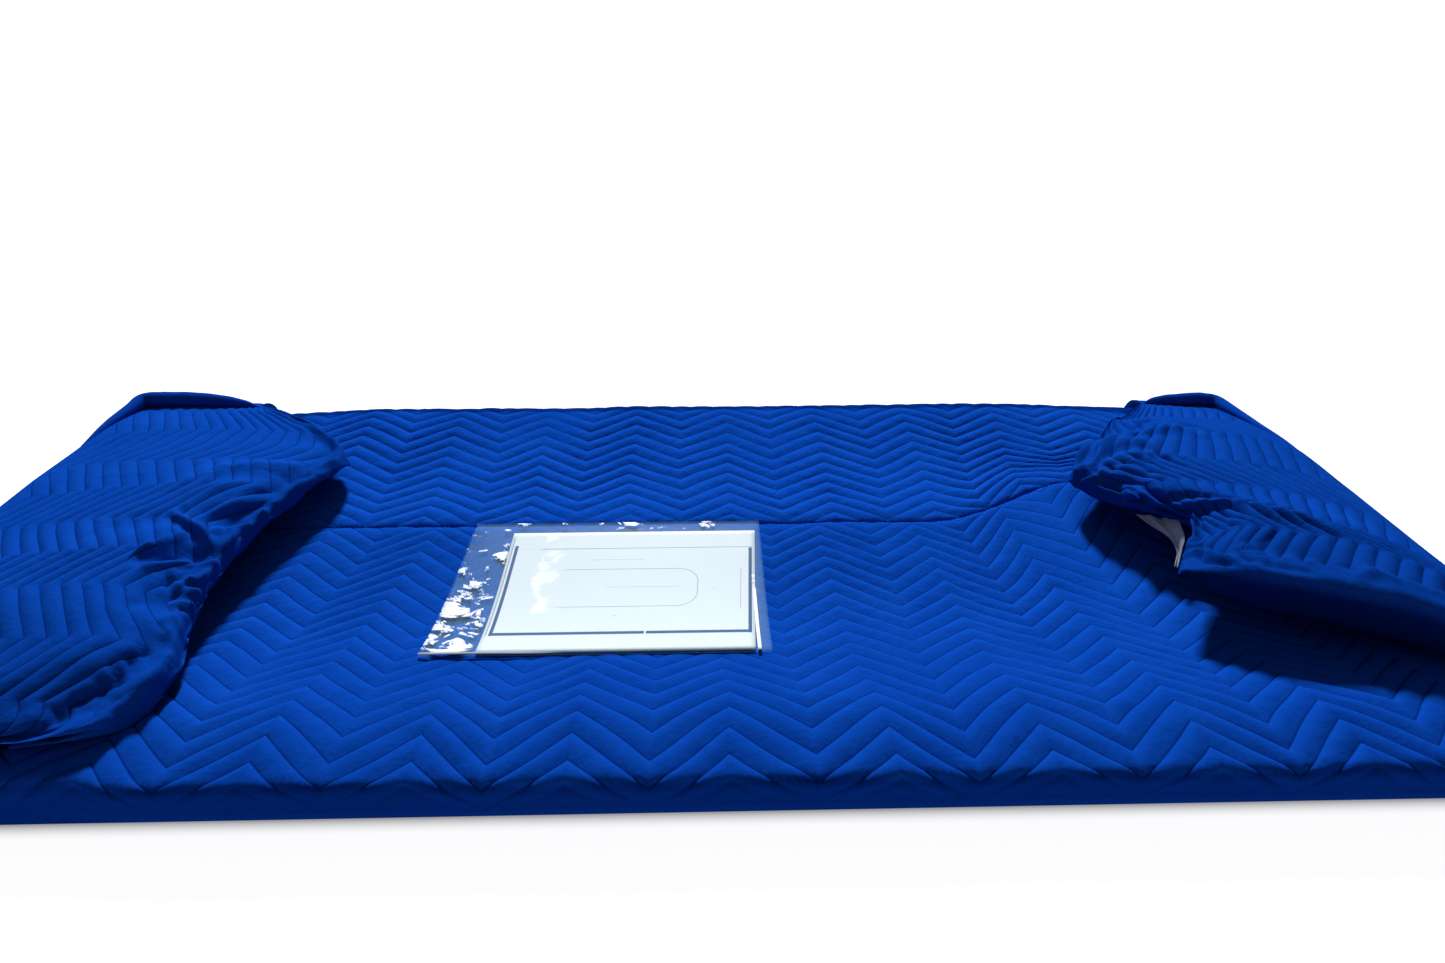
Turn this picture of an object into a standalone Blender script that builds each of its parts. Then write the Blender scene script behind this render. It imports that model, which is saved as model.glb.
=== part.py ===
"""Quilted casket cover lying flat: a main panel in two parts with its skirts rolled under,
an end pocket folded up over each end, a rolled rim at the back corners, a flap of lining
and a clear document pouch with a card in it."""

from collections import namedtuple
from math import cos, floor, hypot, inf, pi, radians, sin

import bmesh
import bpy
import numpy as np

# Driving sizes in metres: X runs along the cover, Y from front to back, Z up.
HALF_LENGTH = 0.955
HALF_WIDTH = 0.425

# Quilting: zigzag stitch lines with a puffed row between each two of them.
ROW_PITCH = 0.026
ROW_PUFF = 0.005
QUILT_PAST_CREST = 0.020
ZIGZAG_PERIOD = 0.150
ZIGZAG_TRAVEL = 0.046
PEAK_X = 0.066

# Main panel, a sheet rolled under at its front and back.
PANEL_END_X = 0.925
PANEL_CORNER = 0.080
TOP_THICKNESS = 0.0100
SKIRT_THICKNESS = 0.0085
SEAM_Y = 0.060
SEAM_GAP = 0.0010
SEAM_PUFF_SHARE = 0.3
SEAM_PUFF_RUN = 0.020
NOSE_SHARE = 0.42
NOSE_TURN_UNDER = 0.018
FLAT_Z = 0.0225
GATHER_Y = 0.100
GATHER_WIDTH = 0.125
GATHER_X = (0.36, 0.60)

# Mesh of the panel: added columns near its ends, rows in the turn and on the floor.
END_COLUMNS = (-0.86, 0.88)
TURN_ROWS = (0.45, 0.75)
FLOOR_ROW = 0.100
INNER_COLUMNS = 22
INNER_ROWS = 6

# Height of the stitch lines above the floor, from the seam to the crest of each roll.
Level = namedtuple("Level", "y z")
FRONT_LEVELS = (
    Level(0.060, 0.0205),
    Level(0.035, 0.0225),
    Level(-0.050, 0.0225),
    Level(-0.120, 0.0240),
    Level(-0.180, 0.0300),
    Level(-0.240, 0.0435),
    Level(-0.290, 0.0580),
    Level(-0.330, 0.0705),
    Level(-0.350, 0.0730),
)
BACK_LEVELS = (
    Level(0.060, 0.0205),
    Level(0.085, 0.0225),
    Level(0.150, 0.0250),
    Level(0.220, 0.0320),
    Level(0.280, 0.0410),
    Level(0.325, 0.0480),
    Level(0.350, 0.0495),
)

# Each part of the panel: the way it runs from the seam, its roll, its skirt and its low ends.
PanelShape = namedtuple("PanelShape", "levels toward nose_y skirt_end_y drop_start_x drop_share")
FRONT_SHAPE = PanelShape(FRONT_LEVELS, -1, 0.410, -0.012, 0.78, 0.45)
BACK_SHAPE = PanelShape(BACK_LEVELS, 1, 0.400, 0.036, 0.50, 0.80)

# End pockets. A station runs across the pocket from its outer fold to its elastic edge.
WALL_X = 0.050
WALL_Y = 0.050
WALL_RUN = 0.110
TOP_RUN = 0.390
CLOTH_THICKNESS = 0.008
HEM_RUN = 0.030
HEM_SWELL = 0.004
CORNER_ROUND = 0.090
TOP_PLACES = (0.0, 0.45, 0.78, 1.0)
Station = namedtuple("Station", "share y_outer y_edge x_edge z_fold z_mid z_crown z_edge")
LEFT_STATIONS = (
    Station(0.00, 0.375, 0.375, 0.730, 0.063, 0.061, 0.059, 0.058),
    Station(0.12, 0.270, 0.285, 0.620, 0.080, 0.081, 0.078, 0.074),
    Station(0.25, 0.170, 0.165, 0.510, 0.086, 0.094, 0.088, 0.078),
    Station(0.38, 0.070, 0.080, 0.540, 0.090, 0.104, 0.106, 0.092),
    Station(0.50, -0.030, -0.020, 0.572, 0.090, 0.110, 0.116, 0.102),
    Station(0.62, -0.130, -0.120, 0.576, 0.090, 0.112, 0.122, 0.104),
    Station(0.74, -0.220, -0.220, 0.552, 0.090, 0.112, 0.124, 0.100),
    Station(0.82, -0.275, -0.278, 0.528, 0.090, 0.110, 0.122, 0.098),
    Station(0.90, -0.325, -0.338, 0.536, 0.089, 0.106, 0.116, 0.098),
    Station(0.96, -0.358, -0.368, 0.580, 0.086, 0.100, 0.105, 0.097),
    Station(1.00, -0.375, -0.375, 0.690, 0.083, 0.093, 0.096, 0.095),
)
RIGHT_STATIONS = (
    Station(0.00, 0.373, 0.373, 0.790, 0.047, 0.048, 0.051, 0.054),
    Station(0.15, 0.260, 0.270, 0.680, 0.070, 0.080, 0.082, 0.076),
    Station(0.30, 0.150, 0.180, 0.590, 0.086, 0.104, 0.106, 0.084),
    Station(0.45, 0.040, 0.080, 0.545, 0.090, 0.116, 0.118, 0.086),
    Station(0.60, -0.060, 0.000, 0.590, 0.092, 0.120, 0.122, 0.092),
    Station(0.72, -0.130, -0.060, 0.650, 0.094, 0.124, 0.126, 0.100),
    Station(0.88, -0.225, -0.128, 0.606, 0.097, 0.131, 0.132, 0.106),
    Station(1.00, -0.295, -0.178, 0.575, 0.098, 0.138, 0.137, 0.112),
)

# Elastic gathers along the free edge, and the large folds, each along a straight run of cloth.
PUCKER_PITCH = 0.075
PUCKER_HEIGHT = 0.006
PUCKER_REACH = 0.110
Fold = namedtuple("Fold", "along across along_end across_end width height")
LEFT_FOLDS = (
    Fold(0.325, 0.500, 0.420, 0.360, 0.024, 0.016),
    Fold(0.395, 0.500, 0.450, 0.400, 0.020, 0.014),
    Fold(0.480, 0.490, 0.520, 0.340, 0.024, -0.010),
    Fold(0.585, 0.500, 0.690, 0.400, 0.030, 0.014),
    Fold(0.700, 0.470, 0.790, 0.330, 0.028, 0.010),
)
RIGHT_FOLDS = (
    Fold(0.205, 0.500, 0.260, 0.330, 0.028, 0.014),
    Fold(0.300, 0.500, 0.330, 0.380, 0.022, 0.018),
    Fold(0.400, 0.500, 0.420, 0.360, 0.022, -0.012),
    Fold(0.520, 0.470, 0.500, 0.240, 0.026, 0.014),
    Fold(0.600, 0.500, 0.640, 0.300, 0.026, -0.010),
)

# Rolled rim round the back corner of a pocket, along a path over its cloth.
RIM_RADIUS = 0.012
RIM_CLEARANCE = 0.0065
RIM_SIDES = 8
RIM_STEPS = 20
RimPoint = namedtuple("RimPoint", "along across swell")
LEFT_RIM = (
    RimPoint(0.121, 0.465, 0.30),
    RimPoint(0.121, 0.300, 0.95),
    RimPoint(0.121, 0.125, 1.00),
    RimPoint(0.125, 0.097, 1.00),
    RimPoint(0.150, 0.093, 0.90),
    RimPoint(0.260, 0.090, 0.25),
)
RIGHT_RIM = (
    RimPoint(0.109, 0.465, 0.25),
    RimPoint(0.105, 0.300, 0.70),
    RimPoint(0.105, 0.125, 0.80),
    RimPoint(0.115, 0.092, 0.80),
    RimPoint(0.150, 0.088, 0.70),
    RimPoint(0.260, 0.085, 0.25),
)

# Flap of lining under the elastic edge of the right pocket.
LINING_THICKNESS = 0.002
Corner = namedtuple("Corner", "x y z")
LINING_TOP_LEFT = Corner(0.603, -0.008, 0.076)
LINING_TOP_RIGHT = Corner(0.640, -0.066, 0.082)
LINING_TIP = Corner(0.606, -0.114, 0.050)
LINING_BULGE = 0.004
LINING_COLUMNS = (0.0, 0.25, 0.5, 0.75, 1.0)
LINING_ROWS = (0.0, 0.4, 0.85)

# Document pouch: two films with a card between them, lying over the crests of the rows.
FILM_THICKNESS = 0.001
CARD_THICKNESS = 0.001
LAYER_GAP = 0.0010
POUCH_LIFT = 0.0065
PouchPlan = namedtuple("PouchPlan", "left_back right_back left_front right_front y_back y_front")
POUCH = PouchPlan(-0.297, 0.098, -0.299, 0.099, 0.054, -0.230)
CARD = PouchPlan(-0.246, 0.094, -0.230, 0.091, 0.030, -0.224)
POUCH_CELLS = (8, 14)

BLUE = (0.006, 0.055, 0.42, 1.0)
DEEP_BLUE = (0.004, 0.040, 0.34, 1.0)
GREY = (0.42, 0.45, 0.52, 1.0)
CLEAR = (0.85, 0.90, 0.95, 0.35)
CARD_WHITE = (0.82, 0.88, 0.92, 1.0)


def clear_scene():
    for obj in list(bpy.data.objects):
        bpy.data.objects.remove(obj, do_unlink=True)


def material(name, colour, roughness, alpha=1.0):
    made = bpy.data.materials.new(name)
    made.use_nodes = True
    shader = made.node_tree.nodes["Principled BSDF"]
    shader.inputs["Base Color"].default_value = colour
    shader.inputs["Roughness"].default_value = roughness
    shader.inputs["Metallic"].default_value = 0.0
    shader.inputs["Alpha"].default_value = alpha
    return made


def ease(value, start, stop):
    """0 before start, 1 after stop, and a smooth step between them."""
    share = min(max((value - start) / (stop - start), 0.0), 1.0)
    return share * share * (3.0 - 2.0 * share)


def smooth_curve(places, values):
    """A function that runs smoothly through the values at rising places."""
    places = np.array(places)
    values = np.array(values)
    steps = np.diff(values) / np.diff(places)
    slopes = np.empty(len(values))
    slopes[0] = steps[0]
    slopes[-1] = steps[-1]
    slopes[1:-1] = np.where(steps[:-1] * steps[1:] > 0, (steps[:-1] + steps[1:]) / 2, 0.0)

    def at(place):
        index = int(np.clip(np.searchsorted(places, place) - 1, 0, len(steps) - 1))
        width = places[index + 1] - places[index]
        t = min(max((place - places[index]) / width, 0.0), 1.0)
        start, stop = values[index], values[index + 1]
        rise = t * t * (3 - 2 * t) * (stop - start)
        bend = t * (1 - t) * width * ((1 - t) * slopes[index] - t * slopes[index + 1])
        return start + rise + bend

    return at


def zigzag(along):
    """Sideways place of a stitch line, highest at PEAK_X and each period from it."""
    phase = (along - PEAK_X) / ZIGZAG_PERIOD
    return ZIGZAG_TRAVEL * (0.5 - 2.0 * abs(phase - floor(phase + 0.5)))


def puff(along, across, side=1.0):
    """Height of the puffed rows above their stitch lines."""
    row = (across - side * zigzag(along)) / ROW_PITCH
    share = row - floor(row)
    return ROW_PUFF * (1.0 - abs(2.0 * share - 1.0))


def flat_quilt(along_range, across_range, side=1.0, extra_along=(), plain_across=()):
    """Flat cloth in (along, across) whose mesh rows follow the zigzag stitch lines. Past the
    quilted range, plain_across adds straight rows."""
    first, last = along_range
    half = ZIGZAG_PERIOD / 2
    count = int((last - first) / half) + 3
    start = PEAK_X + half * floor((first - PEAK_X) / half)
    columns = sorted([start + half * i for i in range(count)] + list(extra_along))
    lines = []
    if plain_across:
        rows_end = plain_across[0] - (ZIGZAG_TRAVEL + ROW_PITCH) / 2
    else:
        rows_end = across_range[1] + ZIGZAG_TRAVEL
    row = floor((across_range[0] - ZIGZAG_TRAVEL) / ROW_PITCH)
    while row * ROW_PITCH < rows_end:
        for share in (0.0, 0.5):
            lines.append([(row + share) * ROW_PITCH + side * zigzag(x) for x in columns])
        row += 1
    for across in plain_across:
        lines.append([across for _ in columns])
    mesh = bmesh.new()
    grid = [[mesh.verts.new((x, y, 0.0)) for x, y in zip(columns, line)] for line in lines]
    for lower, upper in zip(grid, grid[1:]):
        for i in range(len(columns) - 1):
            mesh.faces.new((lower[i], lower[i + 1], upper[i + 1], upper[i]))
    cuts = (
        ((first, 0, 0), (-1, 0, 0)),
        ((last, 0, 0), (1, 0, 0)),
        ((0, across_range[0], 0), (0, -1, 0)),
        ((0, across_range[1], 0), (0, 1, 0)),
    )
    for place, outward in cuts:
        everything = list(mesh.verts) + list(mesh.edges) + list(mesh.faces)
        bmesh.ops.bisect_plane(
            mesh, geom=everything, dist=1e-5, plane_co=place, plane_no=outward, clear_outer=True
        )
    return mesh


def grid_cloth(along_values, across_values):
    """Flat cloth in (along, across) with straight rows."""
    mesh = bmesh.new()
    grid = [[mesh.verts.new((x, y, 0.0)) for x in along_values] for y in across_values]
    for lower, upper in zip(grid, grid[1:]):
        for i in range(len(along_values) - 1):
            mesh.faces.new((lower[i], lower[i + 1], upper[i + 1], upper[i]))
    return mesh


def rim_loop(flat):
    """Points on the border of a rectangular flat cloth with their run round it, as a share
    of each side: 0 to 1 on the low side, then 1 to 2 on the right one, and so on."""
    xs = [v.co.x for v in flat.verts]
    ys = [v.co.y for v in flat.verts]
    left, right, low, high = min(xs), max(xs), min(ys), max(ys)
    loop = []
    for vert in flat.verts:
        if not vert.is_boundary:
            continue
        x = (vert.co.x - left) / (right - left)
        y = (vert.co.y - low) / (high - low)
        sides = ((y, x), (1 - x, 1 + y), (1 - y, 3 - x), (x, 4 - y))
        run = min(sides)[1]
        loop.append((run % 4.0, vert.index))
    return sorted(loop)


def join_borders(solid, skins, loops):
    """Faces between the borders of two skins, each step taken on the skin that is behind."""
    loops = [loop + [(loop[0][0] + 4.0, loop[0][1])] for loop in loops]
    last = [len(loop) - 1 for loop in loops]
    at = [0, 0]
    while at != last:
        ahead = [loops[k][at[k] + 1][0] if at[k] < last[k] else inf for k in (0, 1)]
        moves = [ahead[k] <= ahead[1 - k] + 1e-6 for k in (0, 1)]
        corners = [skins[k][loops[k][at[k]][1]] for k in (0, 1)]
        for k in (1, 0):
            if moves[k]:
                at[k] += 1
                corners.append(skins[k][loops[k][at[k]][1]])
        solid.faces.new(corners)


def add_object(name, solid, finish):
    """Puts the finished solid into the scene under its name and frees it."""
    data = bpy.data.meshes.new(name)
    solid.to_mesh(data)
    solid.free()
    data.materials.append(finish)
    obj = bpy.data.objects.new(name, data)
    bpy.context.scene.collection.objects.link(obj)
    return obj


def solid_from_cloth(name, outer_cloth, inner_cloth, outer, inner, finish):
    """Closed solid with the outer cloth as its outer face and the inner cloth, which may have
    a coarser mesh over the same rectangle, as its inner one."""
    solid = bmesh.new()
    skins = []
    for flat, place in ((outer_cloth, outer), (inner_cloth, inner)):
        flat.verts.index_update()
        skins.append([solid.verts.new(place(v.co.x, v.co.y)) for v in flat.verts])
    for face in outer_cloth.faces:
        solid.faces.new([skins[0][v.index] for v in face.verts])
    for face in inner_cloth.faces:
        solid.faces.new([skins[1][v.index] for v in reversed(face.verts)])
    join_borders(solid, skins, [rim_loop(outer_cloth), rim_loop(inner_cloth)])
    outer_cloth.free()
    inner_cloth.free()
    bmesh.ops.recalc_face_normals(solid, faces=solid.faces)
    if solid.calc_volume(signed=True) < 0:
        bmesh.ops.reverse_faces(solid, faces=solid.faces)
    return add_object(name, solid, finish)


def spread(start, stop, count):
    """Evenly spaced values from start to stop, with count steps."""
    return [start + (stop - start) * i / count for i in range(count + 1)]


def rounded_plan(x, y, half_x, half_y, radius):
    """Plan place with the square corners of a half_x by half_y rectangle made round."""
    over_x = abs(x) - (half_x - radius)
    over_y = abs(y) - (half_y - radius)
    if over_x <= 0 or over_y <= 0:
        return x, y
    shrink = max(over_x, over_y) / hypot(over_x, over_y)
    new_x = half_x - radius + over_x * shrink
    new_y = half_y - radius + over_y * shrink
    return (new_x if x > 0 else -new_x), (new_y if y > 0 else -new_y)


def level_curve(levels):
    """Height of the stitch lines as a function of Y."""
    ordered = sorted(levels)
    return smooth_curve([level.y for level in ordered], [level.z for level in ordered])


class Profile:
    """Section of one panel part: from the seam over its crest, round the roll and back along
    the floor. Places on it are given by the length of cloth from the seam."""

    SAMPLES = 60

    def __init__(self, shape):
        self.shape = shape
        levels = shape.levels
        toward = shape.toward
        height = level_curve(levels)
        crest = levels[-1]
        nose_z = crest.z * NOSE_SHARE
        reach = shape.nose_y - abs(crest.y)
        points = []
        for i in range(self.SAMPLES):
            y = levels[0].y + (crest.y - levels[0].y) * i / self.SAMPLES
            points.append((y, height(y)))
        for i in range(self.SAMPLES):
            turn = pi / 2 * i / self.SAMPLES
            points.append(
                (crest.y + toward * reach * sin(turn), nose_z + (crest.z - nose_z) * cos(turn))
            )
        for i in range(self.SAMPLES):
            turn = pi / 2 * i / self.SAMPLES
            y = toward * (shape.nose_y - NOSE_TURN_UNDER * (1 - cos(turn)))
            points.append((y, nose_z * (1 - sin(turn))))
        points.append((toward * (shape.nose_y - NOSE_TURN_UNDER), 0.0))
        points.append((shape.skirt_end_y, 0.0))
        self.y, self.z = np.array(points).T
        steps = np.hypot(np.diff(self.y), np.diff(self.z))
        self.length = np.concatenate(([0.0], np.cumsum(steps)))
        self.crest_run = self.length[self.SAMPLES]
        self.top_end = self.length[2 * self.SAMPLES]
        self.floor_start = self.length[-2]
        self.total = self.length[-1]

    def at(self, run):
        """Place and outward direction in Y and Z after this length of cloth."""
        y, z = (float(np.interp(run, self.length, line)) for line in (self.y, self.z))
        if run >= self.floor_start - 1e-6:
            return y, z, 0.0, -1.0
        step = 0.002
        before = max(run - step, 0.0)
        after = min(run + step, self.total)
        dy, dz = (
            float(np.interp(after, self.length, line) - np.interp(before, self.length, line))
            for line in (self.y, self.z)
        )
        size = hypot(dy, dz)
        return y, z, -self.shape.toward * dz / size, self.shape.toward * dy / size

    def shaped(self, x, y, z):
        """A point of the section at x, with the gather at the right pocket and low ends."""
        drop = self.shape.drop_share * ease(abs(x), self.shape.drop_start_x, PANEL_END_X)
        z -= drop * max(z - FLAT_Z, 0.0)
        if z > SKIRT_THICKNESS:
            reach = ease(x, *GATHER_X)
            y += GATHER_Y * reach * np.exp(-(((y - SEAM_Y) / GATHER_WIDTH) ** 2))
        x, y = rounded_plan(x, y, PANEL_END_X, self.shape.nose_y, PANEL_CORNER)
        return x, y, z

    def outer(self, x, run):
        y, z, out_y, out_z = self.at(run)
        quilt = puff(x, run) * (1 - ease(run, self.crest_run + QUILT_PAST_CREST, self.top_end))
        quilt *= SEAM_PUFF_SHARE + (1 - SEAM_PUFF_SHARE) * ease(run, 0.0, SEAM_PUFF_RUN)
        return self.shaped(x, y + out_y * quilt, z + out_z * quilt)

    def inner(self, x, run):
        y, z, out_y, out_z = self.at(run)
        share = ease(run, self.top_end, self.floor_start)
        thickness = TOP_THICKNESS + (SKIRT_THICKNESS - TOP_THICKNESS) * share
        return self.shaped(x, y - out_y * thickness, z - out_z * thickness)


def panel_part(name, shape, finish):
    """One part of the main panel with its skirt rolled under."""
    profile = Profile(shape)
    turn = profile.floor_start - profile.top_end
    plain = [profile.top_end + turn * share for share in TURN_ROWS]
    plain += [profile.floor_start, profile.floor_start + FLOOR_ROW, profile.total]
    seam = SEAM_GAP / 2
    columns = (-PANEL_END_X, PANEL_END_X)
    quilt = flat_quilt(columns, (seam, profile.total), extra_along=END_COLUMNS, plain_across=plain)
    rows = spread(seam, profile.crest_run, INNER_ROWS)
    rows += spread(profile.crest_run, profile.floor_start, INNER_ROWS)[1:]
    lining = grid_cloth(spread(*columns, INNER_COLUMNS), rows + plain[-2:])
    return solid_from_cloth(name, quilt, lining, profile.outer, profile.inner, finish)


class Pocket:
    """End pocket over one end of the panel. A place on its cloth is the length from the back
    floor edge and the length from the outer floor edge."""

    def __init__(self, side, stations, folds, front_wall):
        self.side = side
        self.folds = folds
        self.front_wall = front_wall
        shares = [s.share for s in stations]
        self.curves = {
            column: smooth_curve(shares, [getattr(s, column) for s in stations])
            for column in Station._fields[1:]
        }
        self.top_along = stations[0].y_edge - stations[-1].y_edge
        self.along = WALL_RUN + self.top_along + (WALL_RUN if front_wall else 0.0)
        self.across = WALL_RUN + TOP_RUN

    def station(self, along):
        """Share along the pocket, with the turn of the back or front wall in radians."""
        share = (along - WALL_RUN) / self.top_along
        if share < 0:
            return 0.0, along / WALL_RUN * pi / 2, 1
        if share > 1:
            return 1.0, (self.along - along) / WALL_RUN * pi / 2, -1
        return share, pi / 2, 0

    def height(self, share, across_share):
        """Height of the top between the outer fold and the elastic edge."""
        marks = ("z_fold", "z_mid", "z_crown", "z_edge")
        heights = [self.curves[mark](share) for mark in marks]
        return smooth_curve(TOP_PLACES, heights)(across_share)

    def crease(self, along, across):
        """Rise of the gathers and large folds above the smooth top."""
        near_edge = ease(across, self.across - PUCKER_REACH, self.across - HEM_RUN)
        rise = PUCKER_HEIGHT * near_edge * cos(2 * pi * along / PUCKER_PITCH)
        for fold in self.folds:
            run = np.array((fold.along_end - fold.along, fold.across_end - fold.across))
            gap = np.array((along - fold.along, across - fold.across))
            share = min(max(float(gap @ run) / float(run @ run), 0.0), 1.0)
            distance = float(np.linalg.norm(gap - share * run))
            rise += fold.height * np.exp(-((distance / fold.width) ** 2)) * (1 - 0.5 * share)
        return rise

    def place(self, along, across, inset):
        """A point of the cloth, moved in from the outer face by the inset."""
        share, wall_turn, wall = self.station(min(max(along, 0.0), self.along))
        fold_turn = min(across / WALL_RUN, 1.0) * pi / 2
        across_share = min(max((across - WALL_RUN) / TOP_RUN, 0.0), 1.0)
        fold_x = HALF_LENGTH - inset - (WALL_X - inset) * (1 - cos(fold_turn))
        edge_x = self.curves["x_edge"](share)
        x = fold_x + (edge_x - fold_x) * across_share
        y = self.curves["y_outer"](share)
        y += (self.curves["y_edge"](share) - y) * across_share
        y += wall * (WALL_Y - inset) * cos(wall_turn)
        top = self.height(share, across_share) + self.crease(along, across) - inset
        z = top * sin(fold_turn) * sin(wall_turn)
        if y > 0 or self.front_wall:
            half_x, half_y = HALF_LENGTH - inset, HALF_WIDTH - inset
            x, y = rounded_plan(x, y, half_x, half_y, CORNER_ROUND - inset)
        return self.side * x, y, z

    def hem(self, across):
        return HEM_SWELL * ease(across, self.across - HEM_RUN, self.across - HEM_RUN / 3)

    def outer(self, along, across):
        x, y, z = self.place(along, across, 0.0)
        top = ease(across, WALL_RUN * 0.5, WALL_RUN) * ease(along, WALL_RUN, WALL_RUN * 1.5)
        if self.front_wall:
            top *= ease(self.along - along, WALL_RUN * 0.5, WALL_RUN)
        top *= 1 - ease(across, self.across - HEM_RUN, self.across)
        return x, y, z + puff(along, across, self.side) * top

    def inner(self, along, across):
        x, y, z = self.place(along, across, CLOTH_THICKNESS)
        swell = self.hem(across) if z > CLOTH_THICKNESS else 0.0
        return x, y, max(z - swell, 0.0)

    def outward(self, along, across):
        """Direction away from the cloth at a place on it."""
        step = 0.004
        forward = np.subtract(
            self.place(along + step, across, 0.0), self.place(along - step, across, 0.0)
        )
        sideways = np.subtract(
            self.place(along, across + step, 0.0), self.place(along, across - step, 0.0)
        )
        normal = np.cross(sideways, forward) * self.side
        return normal / np.linalg.norm(normal)


def pocket(name, shape, finish):
    quarter = ZIGZAG_PERIOD / 4
    first = PEAK_X - quarter * floor(PEAK_X / quarter)
    between = [first + 2 * quarter * i for i in range(int(shape.along / quarter / 2))]
    quilt = flat_quilt((0.0, shape.along), (0.0, shape.across), shape.side, extra_along=between)
    back = spread(0.0, WALL_RUN, 3)
    front = spread(shape.along - WALL_RUN, shape.along, 3) if shape.front_wall else [shape.along]
    along = back + spread(WALL_RUN, front[0], 14)[1:-1] + front
    across = back + spread(WALL_RUN, shape.across - HEM_RUN, 5)[1:] + [shape.across]
    lining = grid_cloth(along, across)
    return solid_from_cloth(name, quilt, lining, shape.outer, shape.inner, finish)


def rim(name, shape, path, finish):
    """Tapered roll that lies on the back corner of a pocket."""
    table = np.array(path)
    steps = np.linalg.norm(np.diff(table[:, :2], axis=0), axis=1)
    runs = np.concatenate(([0.0], np.cumsum(steps)))
    rings = []
    for run in spread(0.0, runs[-1], RIM_STEPS):
        along, across, swell = (float(np.interp(run, runs, column)) for column in table.T)
        radius = RIM_RADIUS * swell
        lift = radius + RIM_CLEARANCE
        centre = np.array(shape.place(along, across, 0.0)) + lift * shape.outward(along, across)
        rings.append((centre, radius))
    solid = bmesh.new()
    loops = []
    for i, (centre, radius) in enumerate(rings):
        ahead = rings[min(i + 1, RIM_STEPS)][0] - rings[max(i - 1, 0)][0]
        ahead /= np.linalg.norm(ahead)
        sideways = np.cross(ahead, (0.0, 0.0, 1.0))
        sideways /= np.linalg.norm(sideways)
        upward = np.cross(sideways, ahead)
        loop = []
        for k in range(RIM_SIDES):
            turn = 2 * pi * k / RIM_SIDES
            spoke = cos(turn) * sideways + sin(turn) * upward
            loop.append(solid.verts.new(centre + radius * spoke))
        loops.append(loop)
    for first, second in zip(loops, loops[1:]):
        for k in range(RIM_SIDES):
            after = (k + 1) % RIM_SIDES
            solid.faces.new((first[k], first[after], second[after], second[k]))
    solid.faces.new(loops[0])
    solid.faces.new(loops[-1])
    bmesh.ops.recalc_face_normals(solid, faces=solid.faces)
    obj = add_object(name, solid, finish)
    obj.data.shade_smooth()
    obj.data.set_sharp_from_angle(angle=radians(50))
    return obj


def lining_patch(name, finish):
    """Small triangular flap of lining hanging from the elastic edge of the right pocket."""
    left = np.array(LINING_TOP_LEFT)
    right = np.array(LINING_TOP_RIGHT)
    tip = np.array(LINING_TIP)
    normal = np.cross(right - left, tip - left)
    normal /= np.linalg.norm(normal)

    def face(along, across, side):
        top = left + (right - left) * along
        bulge = LINING_BULGE * sin(pi * along) * (1 - across)
        return top + (tip - top) * across + normal * (bulge + side * LINING_THICKNESS / 2)

    return solid_from_cloth(
        name,
        grid_cloth(LINING_COLUMNS, LINING_ROWS),
        grid_cloth(LINING_COLUMNS, LINING_ROWS),
        lambda along, across: face(along, across, 1),
        lambda along, across: face(along, across, -1),
        finish,
    )


def flat_layer(name, plan, lift, thickness, finish):
    """Thin sheet lying over the crests of the rows, inside the corners of its plan."""
    height = level_curve(FRONT_LEVELS)
    columns, rows = (spread(0.0, 1.0, count) for count in POUCH_CELLS)

    def face(along, across, rise):
        left = plan.left_back + (plan.left_front - plan.left_back) * across
        right = plan.right_back + (plan.right_front - plan.right_back) * across
        y = plan.y_back + (plan.y_front - plan.y_back) * across
        return left + (right - left) * along, y, height(y) + POUCH_LIFT + lift + rise

    return solid_from_cloth(
        name,
        grid_cloth(columns, rows),
        grid_cloth(columns, rows),
        lambda along, across: face(along, across, thickness),
        lambda along, across: face(along, across, 0.0),
        finish,
    )


def build():
    clear_scene()
    satin = material("blue_quilted_satin", BLUE, 0.55)
    binding = material("blue_binding", DEEP_BLUE, 0.50)
    lining = material("grey_lining", GREY, 0.60)
    film = material("clear_film", CLEAR, 0.12, alpha=0.35)
    card = material("white_card", CARD_WHITE, 0.70)
    panel_part("panel_front", FRONT_SHAPE, satin)
    panel_part("panel_back", BACK_SHAPE, satin)
    left = Pocket(-1, LEFT_STATIONS, LEFT_FOLDS, front_wall=True)
    right = Pocket(1, RIGHT_STATIONS, RIGHT_FOLDS, front_wall=False)
    pocket("hood_left", left, satin)
    pocket("hood_right", right, satin)
    rim("rim_left", left, LEFT_RIM, binding)
    rim("rim_right", right, RIGHT_RIM, binding)
    lining_patch("lining_patch", lining)
    step = FILM_THICKNESS + LAYER_GAP
    flat_layer("pouch_back", POUCH, 0.0, FILM_THICKNESS, film)
    flat_layer("document_card", CARD, step, CARD_THICKNESS, card)
    flat_layer("pouch_front", POUCH, step + CARD_THICKNESS + LAYER_GAP, FILM_THICKNESS, film)


build()
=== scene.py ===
"""Dressed model of a quilted casket cover lying flat: the quilted panel in its two parts, the
gathered pocket over each end, the rolled rims, the flap of lining and the document pouch."""

from __future__ import annotations

import logging
from dataclasses import dataclass, field
from enum import Enum
from typing import Callable, Sequence

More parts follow.
